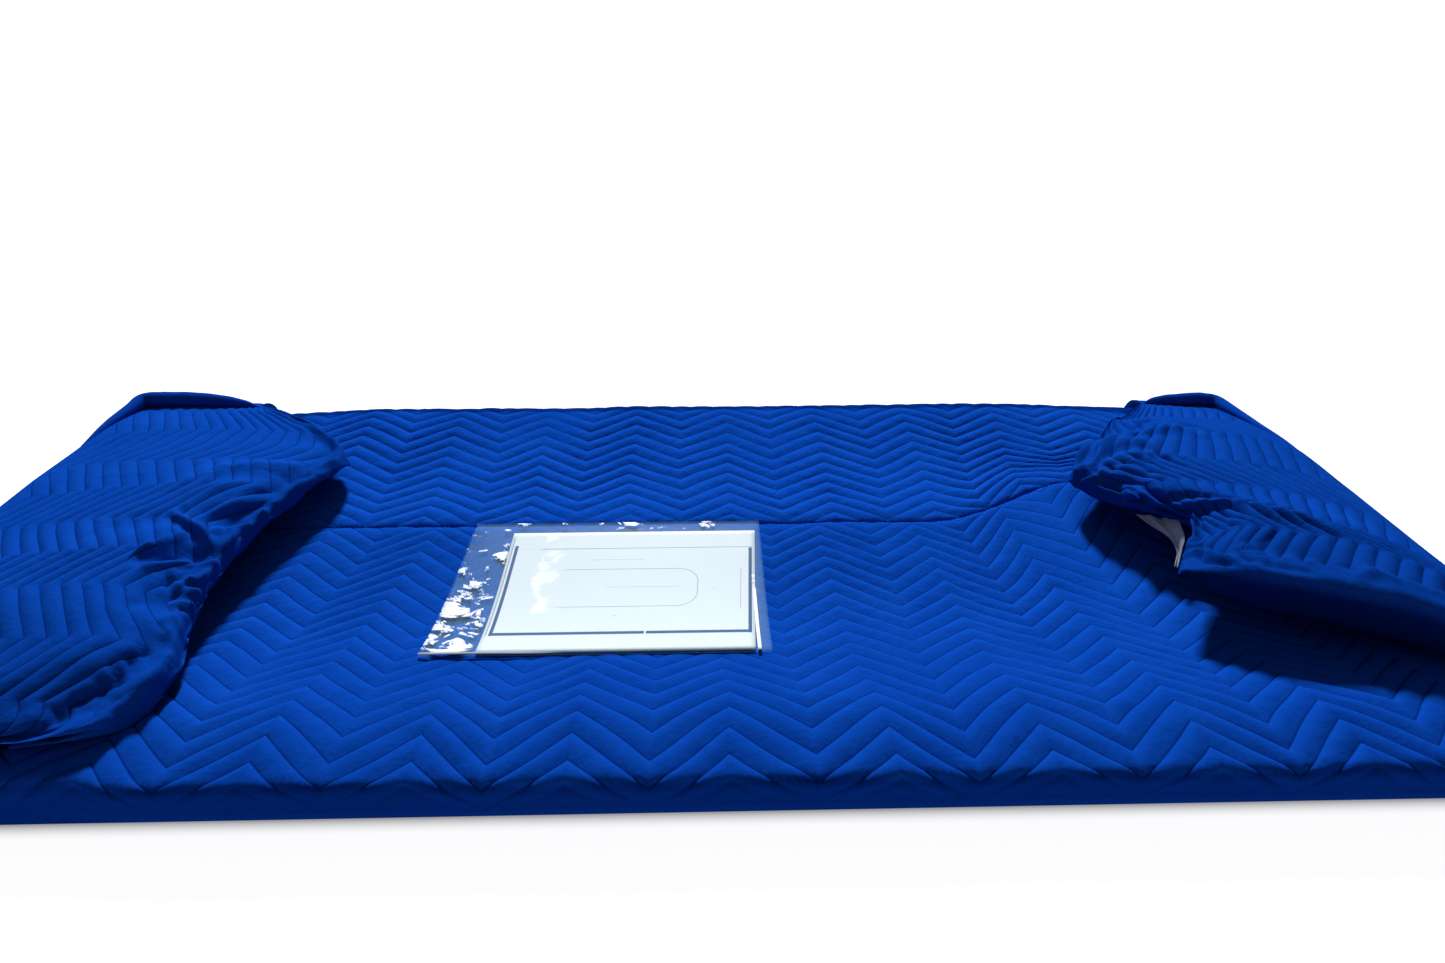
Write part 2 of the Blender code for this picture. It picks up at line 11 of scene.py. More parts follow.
import bmesh
import bpy
import numpy as np
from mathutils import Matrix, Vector


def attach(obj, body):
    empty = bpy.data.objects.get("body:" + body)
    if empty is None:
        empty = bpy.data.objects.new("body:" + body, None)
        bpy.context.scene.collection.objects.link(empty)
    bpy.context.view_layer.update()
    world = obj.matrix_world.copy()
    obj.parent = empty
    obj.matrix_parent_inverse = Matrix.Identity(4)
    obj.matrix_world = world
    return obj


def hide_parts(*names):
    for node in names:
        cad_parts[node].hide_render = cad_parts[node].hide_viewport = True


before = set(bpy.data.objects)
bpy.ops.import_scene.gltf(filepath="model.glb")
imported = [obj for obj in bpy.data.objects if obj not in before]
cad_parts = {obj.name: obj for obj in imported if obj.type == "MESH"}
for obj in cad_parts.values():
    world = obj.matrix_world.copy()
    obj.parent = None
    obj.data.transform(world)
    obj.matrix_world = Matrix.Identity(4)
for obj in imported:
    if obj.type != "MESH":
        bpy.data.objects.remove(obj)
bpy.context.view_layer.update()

Array = np.ndarray
Place = Callable[[Array, Array], Array]
Node = bpy.types.ShaderNode
Socket = bpy.types.NodeSocket

# Radius of a cloth's round edges, and cloth coordinates past the end of every cloth.
EDGE_ROUND = 0.006
FAR = 9.0
NEVER = (2.0, 3.0)
WHITE = (1.0, 1.0, 1.0, 1.0)

log = logging.getLogger("casket_cover")


class Side(Enum):
    """End of the cover that a pocket folds over."""

    LEFT = -1
    RIGHT = 1


class Lean(Enum):
    """Place of the crown of a quilted row, as a share of its width."""

    BACKWARD = 0.38
    EVEN = 0.5


def metres(*rows: tuple) -> tuple:
    """Rows of millimetres, or of thousandths, as rows of metres, or of whole shares."""
    return tuple(tuple(value / 1000 for value in row) for row in rows)


def ease(value: Array, start: float, stop: float) -> Array:
    """Smooth step.

    Args:
        value: Places to read the step at.
        start: Place where the step leaves 0.
        stop: Place where it reaches 1.

    Returns:
        The step's value at each place.
    """
    share = np.clip((value - start) / (stop - start), 0.0, 1.0)
    return share * share * (3.0 - 2.0 * share)


def bell(value: Array, middle: float | Array, width: float) -> Array:
    """Hump of height 1 at the middle place, nearly gone two widths away."""
    return np.exp(-(((value - middle) / width) ** 2))


def smooth_through(places: Sequence[float], values: Array, at: Array) -> Array:
    """Smooth curve through given values.

    Args:
        places: Rising places of the values.
        values: One value a place, or one row of values a place with a column for each point.
        at: Where the curve is read.

    Returns:
        The curve's value at each place of at.
    """
    places = np.asarray(places, float)
    values = np.asarray(values, float)
    if values.ndim == 1:
        values = np.repeat(values[:, None], len(at), axis=1)
    steps = np.diff(values, axis=0) / np.diff(places)[:, None]
    slopes = np.empty_like(values)
    slopes[0] = steps[0]
    slopes[-1] = steps[-1]
    rising = steps[:-1] * steps[1:] > 0
    slopes[1:-1] = np.where(rising, (steps[:-1] + steps[1:]) / 2, 0.0)
    index = np.clip(np.searchsorted(places, at) - 1, 0, len(places) - 2)
    width = places[index + 1] - places[index]
    t = np.clip((at - places[index]) / width, 0.0, 1.0)
    column = np.arange(len(at))
    start = values[index, column]
    stop = values[index + 1, column]
    bend = (1 - t) * slopes[index, column] - t * slopes[index + 1, column]
    return start + t * t * (3 - 2 * t) * (stop - start) + t * (1 - t) * width * bend


def runs_along(points: Array) -> Array:
    """Lengths along a line from its start to each of its points."""
    steps = np.linalg.norm(np.diff(points, axis=0), axis=1)
    return np.concatenate(([0.0], np.cumsum(steps)))


def rounded_share(near: Array, width: float = EDGE_ROUND) -> Array:
    """Share of a cloth's thickness by its edge, less close to it so that the edge is round."""
    share = np.clip(near / width, 0.0, 1.0)
    return np.sqrt(1 - (1 - share) ** 2)


def rounded_plan(x: Array, y: Array, half_x: float, half_y: float, radius: float) -> tuple:
    """Rounds the square corners of a plan.

    Args:
        x: Places along the cover.
        y: Places across it.
        half_x: Half of the plan's length.
        half_y: Half of its width.
        radius: Radius of the corners.

    Returns:
        The new x and y.
    """
    over_x = np.abs(x) - (half_x - radius)
    over_y = np.abs(y) - (half_y - radius)
    corner = (over_x > 0) & (over_y > 0)
    far = np.where(corner, np.hypot(over_x, over_y), 1.0)
    shrink = np.maximum(over_x, over_y) / far
    new_x = np.sign(x) * (half_x - radius + over_x * shrink)
    new_y = np.sign(y) * (half_y - radius + over_y * shrink)
    return np.where(corner, new_x, x), np.where(corner, new_y, y)


@dataclass(frozen=True)
class Ripple:
    """Soft random swell of the cloth, in layers that are each half the last in size and height."""

    height: float
    size: float
    seed: int
    layers: int = 3
    lattice: int = 128
    seed_step: int = 17
    shift: tuple = (37.0, 53.0)

    def at(self, u: Array, v: Array) -> Array:
        """Height of the swell.

        Args:
            u: First coordinate of the points.
            v: Second coordinate.

        Returns:
            The height at each point, for one layer from about -height to height.
        """
        layers = (self.layer(u, v, self.size / 2**k, self.seed + self.seed_step * k) / 2**k
                  for k in range(self.layers))
        return self.height * sum(layers)

    def layer(self, u: Array, v: Array, size: float, seed: int) -> Array:
        """One smooth random field.

        Args:
            u: First coordinate of the points.
            v: Second coordinate.
            size: Distance between two swells.
            seed: Which field.

        Returns:
            Values from about -1 to 1.
        """
        count = self.lattice
        chance = np.random.default_rng(seed).uniform(-1.0, 1.0, (count, count))
        a, b = u / size + self.shift[0], v / size + self.shift[1]
        i, j = np.floor(a).astype(int), np.floor(b).astype(int)
        s, t = ease(a - i, 0.0, 1.0), ease(b - j, 0.0, 1.0)
        low, high = (
            chance[i % count, row % count] * (1 - s) + chance[(i + 1) % count, row % count] * s
            for row in (j, j + 1)
        )
        return low * (1 - t) + high * t


@dataclass(frozen=True)
class Quilt:
    """Zigzag quilting: stitch lines with a filled row between each two of them."""

    pitch: float = 0.026
    period: float = 0.150
    travel: float = 0.046
    peak: float = 0.066
    offset: float = 0.0
    fullness: float = 0.9
    shares: tuple = (0.0, 0.035, 0.12, 0.27, 0.43, 0.59, 0.74, 0.86, 0.94, 0.975)

    def zigzag(self, along: Array) -> Array:
        """Sideways place of a stitch line at each place along it."""
        phase = (along - self.peak) / self.period
        return self.offset + self.travel * (0.5 - 2.0 * np.abs(phase - np.floor(phase + 0.5)))

    def share(self, along: Array, across: Array, side: int) -> Array:
        """Place within a row, 0 at one stitch line and 1 at the next."""
        row = (across - side * self.zigzag(along)) / self.pitch
        return row - np.floor(row + 1e-7)

    def rise(self, share: Array, lean: Lean) -> Array:
        """Height of a row over its stitch lines.

        Args:
            share: Place within the row.
            lean: Where its crown lies.

        Returns:
            The height as a share of the row's full height.
        """
        bent = np.clip(share, 0.0, 1.0) ** (np.log(0.5) / np.log(lean.value))
        return np.maximum(np.sin(np.pi * bent), 0.0) ** self.fullness

    def lines(self, low: float, high: float) -> list:
        """Across places of the mesh rows on the zigzag lines between two limits.

        Args:
            low: Lower limit.
            high: Upper limit.

        Returns:
            The places, in rising order.
        """
        reach = self.travel + abs(self.offset)
        first = int(np.floor((low - reach) / self.pitch))
        last = int(np.ceil((high + reach) / self.pitch))
        return [(row + s) * self.pitch for row in range(first, last) for s in self.shares]


@dataclass(frozen=True)
class Crease:
    """Fold of the cloth along a given path, in cloth coordinates."""

    path: tuple
    width: float
    height: float
    steep: float = 0.0
    fade: tuple = (-0.30, 0.30, 0.70, 1.30)

    @classmethod
    def row(cls, width: float, height: float, steep: float, *path: float) -> Crease:
        """Crease from one row of a table.

        Args:
            width: Width in metres.
            height: Height in metres, or depth where it is below 0.
            steep: Share by which its right side is narrower.
            *path: Along and across places of its points, one after the other.

        Returns:
            The crease.
        """
        return cls(tuple(zip(path[::2], path[1::2])), width, height, steep)

    def rise(self, along: Array, across: Array) -> Array:
        """Height of the fold.

        Args:
            along: Places along the cloth.
            across: Places across it.

        Returns:
            The height that the fold adds at each place, less towards its ends. A steep fold
            falls off faster on the right of its path.
        """
        points = np.array(self.path, float)
        lengths = runs_along(points)
        nearest = np.full(len(along), np.inf)
        at = np.zeros(len(along))
        turned = np.zeros(len(along))
        for k, step in enumerate(np.diff(lengths)):
            way = (points[k + 1] - points[k]) / step
            gap_a, gap_b = along - points[k, 0], across - points[k, 1]
            run = np.clip(gap_a * way[0] + gap_b * way[1], 0.0, step)
            off_a, off_b = gap_a - run * way[0], gap_b - run * way[1]
            distance = np.hypot(off_a, off_b)
            closer = distance < nearest
            nearest = np.where(closer, distance, nearest)
            at = np.where(closer, (lengths[k] + run) / lengths[-1], at)
            turned = np.where(closer, np.sign(off_a * way[1] - off_b * way[0]), turned)
        width = self.width * (1 - self.steep * np.clip(turned, 0.0, 1.0))
        taper = ease(at, *self.fade[:2]) * (1 - ease(at, *self.fade[2:]))
        return self.height * bell(nearest, 0.0, width) * taper


def closed_mesh(
    name: str, points: Array, faces: list, cloth: Array | None = None
) -> bpy.types.Object:
    """Makes an object of a closed mesh, with its faces turned outwards.

    Args:
        name: Name of the piece.
        points: Its points.
        faces: Its faces, as lists of point indices.
        cloth: Cloth coordinates of the points, where its finish follows the cloth.

    Returns:
        The object, with a UV map named cloth.
    """
    data = bpy.data.meshes.new(name)
    data.from_pydata(points.tolist(), [], faces)
    layer = data.uv_layers.new(name="cloth")
    if cloth is not None:
        corner = np.zeros(len(data.loops), np.int32)
        data.loops.foreach_get("vertex_index", corner)
        layer.data.foreach_set("uv", cloth[corner].ravel())
    solid = bmesh.new()
    solid.from_mesh(data)
    bmesh.ops.recalc_face_normals(solid, faces=solid.faces)
    if solid.calc_volume(signed=True) < 0:
        bmesh.ops.reverse_faces(solid, faces=solid.faces)
    solid.to_mesh(data)
    solid.free()
    data.shade_smooth()
    made = bpy.data.objects.new(name, data)
    bpy.context.scene.collection.objects.link(made)
    return made


def dress(piece: bpy.types.Object, finish: bpy.types.Material, node: str, slot: str) -> None:
    """Gives a piece its finish and puts it in place of its solid.

    Args:
        piece: The piece.
        finish: Its material.
        node: Name of the solid.
        slot: Not used.
    """
    piece.data.materials.append(finish)
    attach(piece, "root")
    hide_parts(node)


@dataclass
class ClothSheet:
    """Sheet of cloth as a closed mesh over a rectangle of cloth coordinates, along by across."""

    name: str
    along: tuple
    across: tuple
    quilt: Quilt | None = None
    side: int = 1
    column_step: float = 0.0075
    plain_rows: tuple = ()
    blend_rows: int = 24
    inner_columns: int = 40
    inner_rows: int = 24
    edge_places: tuple = (0.0, 0.004, 0.012)
    edge_margin: float = 0.03

    def even(self, limits: tuple) -> Array:
        """Even places between two limits, a column step or a little more apart."""
        count = max(int((limits[1] - limits[0]) / self.column_step), 1)
        return np.linspace(*limits, count + 1)

    def column_places(self) -> Array:
        """Along places of the mesh columns, with one on each turn of the zigzag.

        Returns:
            The places.
        """
        if self.quilt is None:
            return self.even(self.along)
        half = self.quilt.period / 2
        count = max(int(round(half / self.column_step)), 1)
        start = self.quilt.peak + half * np.floor((self.along[0] - self.quilt.peak) / half)
        total = int(np.ceil((self.along[1] - start) / half)) * count
        return start + np.arange(total + 1) * half / count

    def row_places(self, columns: Array) -> list:
        """Across places of the mesh rows.

        Args:
            columns: Along places of the mesh columns.

        Returns:
            One array a row. The rows follow the zigzag, and past it they blend into plain ones.
        """
        if self.quilt is None:
            return [np.full(len(columns), place) for place in self.even(self.across)]
        wave = self.side * self.quilt.zigzag(columns)
        high = self.plain_rows[0] if self.plain_rows else self.across[1]
        rows = [place + wave for place in self.quilt.lines(self.across[0], high)]
        if self.plain_rows:
            rows = [row for row in rows if row.max() < self.plain_rows[0]]
            gap = self.plain_rows[0] - rows[-1]
            shares = np.arange(1, self.blend_rows) / self.blend_rows
            rows += [rows[-1] + gap * share for share in shares]
        return rows + [np.full(len(columns), place) for place in self.plain_rows]

    @staticmethod
    def grid(columns: Array, rows: Sequence[Array]) -> bmesh.types.BMesh:
        """Flat mesh of quads.

        Args:
            columns: Along places of its columns.
            rows: Across places of its rows, one array a row.

        Returns:
            The mesh.
        """
        mesh = bmesh.new()
        points = [[mesh.verts.new((x, y, 0.0)) for x, y in zip(columns, row)] for row in rows]
        for lower, upper in zip(points, points[1:]):
            for i in range(len(columns) - 1):
                mesh.faces.new((lower[i], lower[i + 1], upper[i + 1], upper[i]))
        return mesh

    def flat(self) -> bmesh.types.BMesh:
        """Flat mesh of the cloth's face, cut off at the edges of the cloth.

        Returns:
            The mesh.
        """
        columns = self.column_places()
        mesh = self.grid(columns, self.row_places(columns))
        cuts = (
            ((self.along[0], 0, 0), (-1, 0, 0)),
            ((self.along[1], 0, 0), (1, 0, 0)),
            ((0, self.across[0], 0), (0, -1, 0)),
            ((0, self.across[1], 0), (0, 1, 0)),
        )
        for place, outward in cuts:
            everything = list(mesh.verts) + list(mesh.edges) + list(mesh.faces)
            bmesh.ops.bisect_plane(
                mesh, geom=everything, dist=1e-5, plane_co=place, plane_no=outward, clear_outer=True
            )
        return mesh

    def back_grid(self) -> bmesh.types.BMesh:
        """Flat, coarser mesh of the cloth's inner face, finer at its edges.

        Returns:
            The mesh.
        """
        near = np.array(self.edge_places)
        places = []
        counts = (self.inner_columns, self.inner_rows)
        for (low, high), count in zip((self.along, self.across), counts):
            inside = np.linspace(low + self.edge_margin, high - self.edge_margin, count)
            places.append(np.concatenate((low + near, inside, (high - near)[::-1])))
        return self.grid(places[0], [np.full(len(places[0]), place) for place in places[1]])

    def border(self, flat: bmesh.types.BMesh, at: Array) -> list:
        """Border points of a flat mesh, in order.

        Args:
            flat: The mesh.
            at: Its points in cloth coordinates.

        Returns:
            Pairs of run and index, the run from 0 to 4 round the rectangle.
        """
        low = at.min(axis=0)
        share = (at - low) / (at.max(axis=0) - low)
        loop = []
        for vert in flat.verts:
            if vert.is_boundary:
                x, y = share[vert.index]
                run = min((y, x), (1 - x, 1 + y), (1 - y, 3 - x), (x, 4 - y))[1]
                loop.append((run % 4.0, vert.index))
        return sorted(loop)

    @staticmethod
    def edge_faces(loops: Sequence[list]) -> list:
        """Faces that join the borders of the two skins.

        Args:
            loops: The border of each skin, as pairs of run and point index.

        Returns:
            Faces as lists of point indices.
        """
        loops = [loop + [(loop[0][0] + 4.0, loop[0][1])] for loop in loops]
        last = [len(loop) - 1 for loop in loops]
        at = [0, 0]
        faces = []
        while at != last:
            ahead = [loops[k][at[k] + 1][0] if at[k] < last[k] else np.inf for k in (0, 1)]
            moves = [ahead[k] <= ahead[1 - k] + 1e-6 for k in (0, 1)]
            corners = [loops[k][at[k]][1] for k in (0, 1)]
            for k in (1, 0):
                if moves[k]:
                    at[k] += 1
                    corners.append(loops[k][at[k]][1])
            faces.append(corners)
        return faces

    def build(self, outer: Place, inner: Place) -> bpy.types.Object:
        """Makes the sheet's object.

        Args:
            outer: Gives the outer face's points from along and across places.
            inner: Gives the inner face's points.

        Returns:
            The object, with a UV map of its cloth coordinates in metres.
        """
        points, faces, loops, cloth = [], [], [], []
        start = 0
        for flat, place, turned in ((self.flat(), outer, False), (self.back_grid(), inner, True)):
            flat.verts.index_update()
            at = np.array([v.co.xy for v in flat.verts])
            points.append(place(at[:, 0], at[:, 1]))
            cloth.append(at)
            for face in flat.faces:
                corners = [v.index + start for v in face.verts]
                faces.append(corners[::-1] if turned else corners)
            loops.append([(run, index + start) for run, index in self.border(flat, at)])
            start += len(at)
            flat.free()
        faces += self.edge_faces(loops)
        return closed_mesh(self.name, np.concatenate(points), faces, np.concatenate(cloth))


@dataclass(frozen=True)
class Signal:
    """Output of a shader node. Its arithmetic adds math nodes to the same network."""

    weave: Weaver
    socket: Socket

    def __add__(self, other: object) -> Signal:
        """Sum with a number or an output."""
        return self.weave.math("ADD", self, other)

    def __sub__(self, other: object) -> Signal:
        """What is left when a number or an output is taken away."""
        return self.weave.math("SUBTRACT", self, other)

    def __rsub__(self, other: float) -> Signal:
        """What is left of a number when this output is taken away."""
        return self.weave.math("SUBTRACT", other, self)

    def __mul__(self, other: object) -> Signal:
        """Product with a number or an output."""
        return self.weave.math("MULTIPLY", self, other)

    def __truediv__(self, other: object) -> Signal:
        """Quotient by a number or an output."""
        return self.weave.math("DIVIDE", self, other)

    def __abs__(self) -> Signal:
        """Size without its sign."""
        return self.weave.math("ABSOLUTE", self)


@dataclass(frozen=True)
class Grain:
    """Noise of a material: swells a metre, layers of finer ones, their strength, and the twist."""

    scale: float
    detail: float = 3.0
    rough: float = 0.5
    twist: float = 0.0


@dataclass
class Weaver:
    """Builds the node network of one material."""

    name: str
    material: bpy.types.Material = field(init=False)

    def __post_init__(self) -> None:
        """Makes the material."""
        self.material = bpy.data.materials.new(self.name)
        self.material.use_nodes = True

    def add(self, kind: str, **settings: object) -> Node:
        """Adds a node with its settings.

        Args:
            kind: Type of the node.
            **settings: Its settings by name.

        Returns:
            The node.
        """
        node = self.material.node_tree.nodes.new(kind)
        for key, value in settings.items():
            setattr(node, key, value)
        return node

    def feed(self, node: Node, inputs: dict) -> None:
        """Links a node's inputs to outputs, or sets their values.

        Args:
            node: The node.
            inputs: Outputs or values by the name or number of the input.
        """
        for key, source in inputs.items():
            if isinstance(source, Signal):
                self.material.node_tree.links.new(source.socket, node.inputs[key])
            else:
                node.inputs[key].default_value = source

    def shade(self, **inputs: object) -> bpy.types.Material:
        """Feeds the material's shader.

        Args:
            **inputs: Outputs or values by the input's name, with a line for each space.

        Returns:
            The finished material.
        """
        shader = self.material.node_tree.nodes["Principled BSDF"]
        self.feed(shader, {name.replace("_", " "): source for name, source in inputs.items()})
        return self.material

    def places(self, cloth: bool = True) -> tuple:
        """Coordinates that a finish is laid out in.

        Args:
            cloth: Whether they are the UV map of cloth metres, or else the object's own.

        Returns:
            The coordinates, and their first and second part alone.
        """
        if cloth:
            socket = self.add("ShaderNodeUVMap", uv_map="cloth").outputs["UV"]
        else:
            socket = self.add("ShaderNodeTexCoord").outputs["Object"]
        whole = Signal(self, socket)
        split = self.add("ShaderNodeSeparateXYZ")
        self.feed(split, {0: whole})
        return whole, Signal(self, split.outputs["X"]), Signal(self, split.outputs["Y"])

    def math(self, operation: str, *inputs: object) -> Signal:
        """Adds a math node for numbers or outputs."""
        node = self.add("ShaderNodeMath", operation=operation)
        self.feed(node, dict(enumerate(inputs)))
        return Signal(self, node.outputs[0])

    def highest(self, first: Signal, *others: Signal) -> Signal:
        """Highest of some outputs."""
        for other in others:
            first = self.math("MAXIMUM", first, other)
        return first

    def band(self, value: Signal, start: float, stop: float) -> Signal:
        """Smooth step of a value from 0 at start to 1 at stop."""
        node = self.add("ShaderNodeMapRange", interpolation_type="SMOOTHSTEP")
        self.feed(node, {"Value": value, "From Min": start, "From Max": stop})
        return Signal(self, node.outputs["Result"])

    def mix(self, factor: Signal, first: object, second: object) -> Signal:
        """Mixes two colours by a factor."""
        node = self.add("ShaderNodeMix", data_type="RGBA")
        self.feed(node, {"Factor": factor, 6: first, 7: second})
        return Signal(self, node.outputs[2])

    def noise(self, vector: Signal, grain: Grain) -> Signal:
        """Noise of about 0 to 1, read at the places of a vector.

        Args:
            vector: The places.
            grain: Kind of the noise.

        Returns:
            The noise.
        """
        node = self.add("ShaderNodeTexNoise")
        self.feed(node, {"Vector": vector, "Scale": grain.scale, "Detail": grain.detail,
                         "Roughness": grain.rough, "Distortion": grain.twist})
        return Signal(self, node.outputs["Fac"])

    def bump(self, *heights: tuple) -> Signal:
        """Chain of bumps.

        Args:
            *heights: Pairs of a height in metres and the bump's strength.

        Returns:
            The normal.
        """
        normal = None
        for height, strength in heights:
            node = self.add("ShaderNodeBump")
            self.feed(node, {"Strength": strength, "Distance": 1.0, "Height": height})
            if normal is not None:
                self.feed(node, {"Normal": normal})
            normal = Signal(self, node.outputs["Normal"])
        return normal


@dataclass(frozen=True)
class QuiltedSatin:
    """Blue woven cloth with zigzag quilting, on a UV map of cloth metres, with painted light and
    shade in its colour.
    """

    name: str
    quilt: Quilt
    side: int = 1
    # Brightness factor of the colours below: painted light, making lighter and darker copies of one
    # cloth for how the light falls on each piece.
    light: float = 1.0
    face: tuple = (0.0024, 0.048, 0.345)
    worn: tuple = (0.0030, 0.055, 0.375)
    worn_band: tuple = (0.35, 0.75)
    # Painted shade along the stitch lines, where the cloth creases: its colour, width and strength.
    groove: tuple = (0.0004, 0.009, 0.085, 1.0)
    groove_width: float = 0.075
    groove_shade_strength: float = 0.42
    # Painted shade: the colour that the cloth darkens towards down a roll's face, on a pocket's
    # apron, by a pocket's elastic edge, on its front part and on the rows towards a roll.
    shade: tuple = (0.0004, 0.0110, 0.092, 1.0)
    painted_shade_above: tuple = NEVER
    painted_dim_above: tuple = NEVER
    painted_dim_past: tuple = NEVER
    painted_dim_strength: float = 0.13
    plain_below: tuple = (-2.0, -1.0)
    plain_above: tuple = NEVER
    plain_past: float = FAR
    plain_fade: float = 0.010
    # Where the painted shade on the apron begins and where it is full, past the apron's start.
    apron_painted_shade: tuple = (0.004, 0.030)
    clouds: Grain = Grain(9.0, 4.0)
    swells: Grain = Grain(38.0, 3.0, 0.6)
    swell_height: float = 0.0034
    crumples: Grain = Grain(75.0, 5.0)
    crumple_height: float = 0.0011
    dash: float = 0.002
    dash_band: tuple = (0.0006, 0.0014)
    thread_band: tuple = (0.008, 0.02)
    thread_height: float = 0.0005
    warp: float = 0.0009
    weft: float = 0.0011
    weave_height: float = 0.00004
    strengths: tuple = (0.75, 0.60, 0.6, 0.35)
    sheen: tuple = (0.01, 0.16, 0.80, 1.0)
    roughness: float = 0.58

    def make(self) -> bpy.types.Material:
        """Makes the material.

        Returns:
            The material.
        """
        weave = Weaver(self.name)
        uv, along, across = weave.places()
        face, worn = (tuple(part * self.light for part in colour) + (1.0,)
                      for colour in (self.face, self.worn))
        clouds = weave.band(weave.noise(uv, self.clouds), *self.worn_band)
        # Painted shade along the stitch lines.
        groove, stitches = self.stitching(weave, along, across)
        colour = weave.mix(groove, weave.mix(clouds, face, worn), self.groove)
        # Painted shade: on the apron and down the roll's face in full, and weaker in the dimmed
        # bands.
        past = weave.band(along, *(self.plain_past + place for place in self.apron_painted_shade))
        painted_dim = weave.highest(
            weave.band(across, *self.painted_dim_above), weave.band(along, *self.painted_dim_past)
        )
        shaded = weave.band(across, *self.painted_shade_above)
        colour = weave.mix(weave.highest(past, shaded, painted_dim * self.painted_dim_strength), colour, self.shade)
        heights = (
            weave.noise(uv, self.swells) * self.swell_height,
            weave.noise(uv, self.crumples) * self.crumple_height,
            stitches,
            self.threads(weave, along, across),
        )
        return weave.shade(
            Base_Color=colour, Normal=weave.bump(*zip(heights, self.strengths)),
            Roughness=self.roughness, Specular_IOR_Level=0.0,
            Sheen_Weight=0.02, Sheen_Roughness=0.4, Sheen_Tint=self.sheen,
        )

    def stitching(self, weave: Weaver, along: Signal, across: Signal) -> tuple:
        """Stitch lines of the quilting.

        Args:
            weave: The network to add to.
            along: First cloth coordinate.
            across: Second cloth coordinate.

        Returns:
            How far into the groove a point is, and the height of the stitches in metres.
        """
        quilt = self.quilt
        phase = (along - quilt.peak) / quilt.period
        near = abs(phase - weave.math("ROUND", phase))
        middle = 0.5 * quilt.travel + quilt.offset
        wave = weave.math("MULTIPLY_ADD", near, -2.0 * quilt.travel, middle)
        row = weave.math("MULTIPLY_ADD", wave, -float(self.side), across)
        off = 0.5 - abs(weave.math("FRACT", row / quilt.pitch) - 0.5)
        sewn = weave.band(across, *self.plain_below) - weave.band(across, *self.plain_above)
        past = weave.band(along, self.plain_past - self.plain_fade, self.plain_past)
        sewn = sewn * (1.0 - past)
        groove = (1.0 - weave.band(off, 0.0, self.groove_width)) * sewn
        dash = weave.band(weave.math("PINGPONG", along, self.dash), *self.dash_band)
        thread = (1.0 - weave.band(off, *self.thread_band)) * sewn * dash
        return groove * self.groove_shade_strength, thread * self.thread_height

    def threads(self, weave: Weaver, along: Signal, across: Signal) -> Signal:
        """Height of the woven threads, in metres."""
        warp = weave.math("SINE", along * (2 * np.pi / self.warp))
        weft = weave.math("SINE", across * (2 * np.pi / self.weft))
        return warp * weft * self.weave_height


@dataclass(frozen=True)
class PlainFinish:
    """Finish of one colour with a fine uneven surface."""

    name: str
    colour: tuple
    second: tuple
    roughness: float
    gloss: float = 0.1
    clouds: Grain = Grain(17.5, 4.0)
    cloud_band: tuple = (0.3, 0.75)
    bumps: Grain = Grain(140.0, 4.0)
    depth: float = 0.0003
    strength: float = 0.5

    def make(self) -> bpy.types.Material:
        """Makes the material.

        Returns:
            The material.
        """
        weave = Weaver(self.name)
        place = weave.places(cloth=False)[0]
        tint = weave.band(weave.noise(place, self.clouds), *self.cloud_band)
        height = weave.noise(place, self.bumps) * self.depth
        return weave.shade(
            Base_Color=weave.mix(tint, self.colour, self.second),
            Normal=weave.bump((height, self.strength)),
            Roughness=self.roughness, Specular_IOR_Level=self.gloss,
        )


@dataclass(frozen=True)
class FloorFinish:
    """White glowing floor with a painted contact shadow: it glows less close to the cover's edge.
    """

    name: str
    colour: tuple = (0.30, 0.30, 0.30, 1.0)
    glow: float = 0.94
    painted_shadow_glow: float = 0.05
    half_length: float = 0.951
    half_width: float = 0.405
    painted_shadow_width: float = 0.022
    roughness: float = 0.9

    def make(self) -> bpy.types.Material:
        """Makes the material.

        Returns:
            The material.
        """
        weave = Weaver(self.name)
        _, x, y = weave.places(cloth=False)
        # Painted contact shadow: the glow drops towards the cover's plan.
        past = weave.highest(abs(x) - self.half_length, abs(y) - self.half_width)
        clear = weave.math("SQRT", weave.band(past, 0.0, self.painted_shadow_width))
        gain = self.glow - self.painted_shadow_glow
        return weave.shade(
            Base_Color=self.colour, Emission_Color=WHITE,
            Emission_Strength=weave.math("MULTIPLY_ADD", clear, gain, self.painted_shadow_glow),
            Roughness=self.roughness, Specular_IOR_Level=0.0,
        )


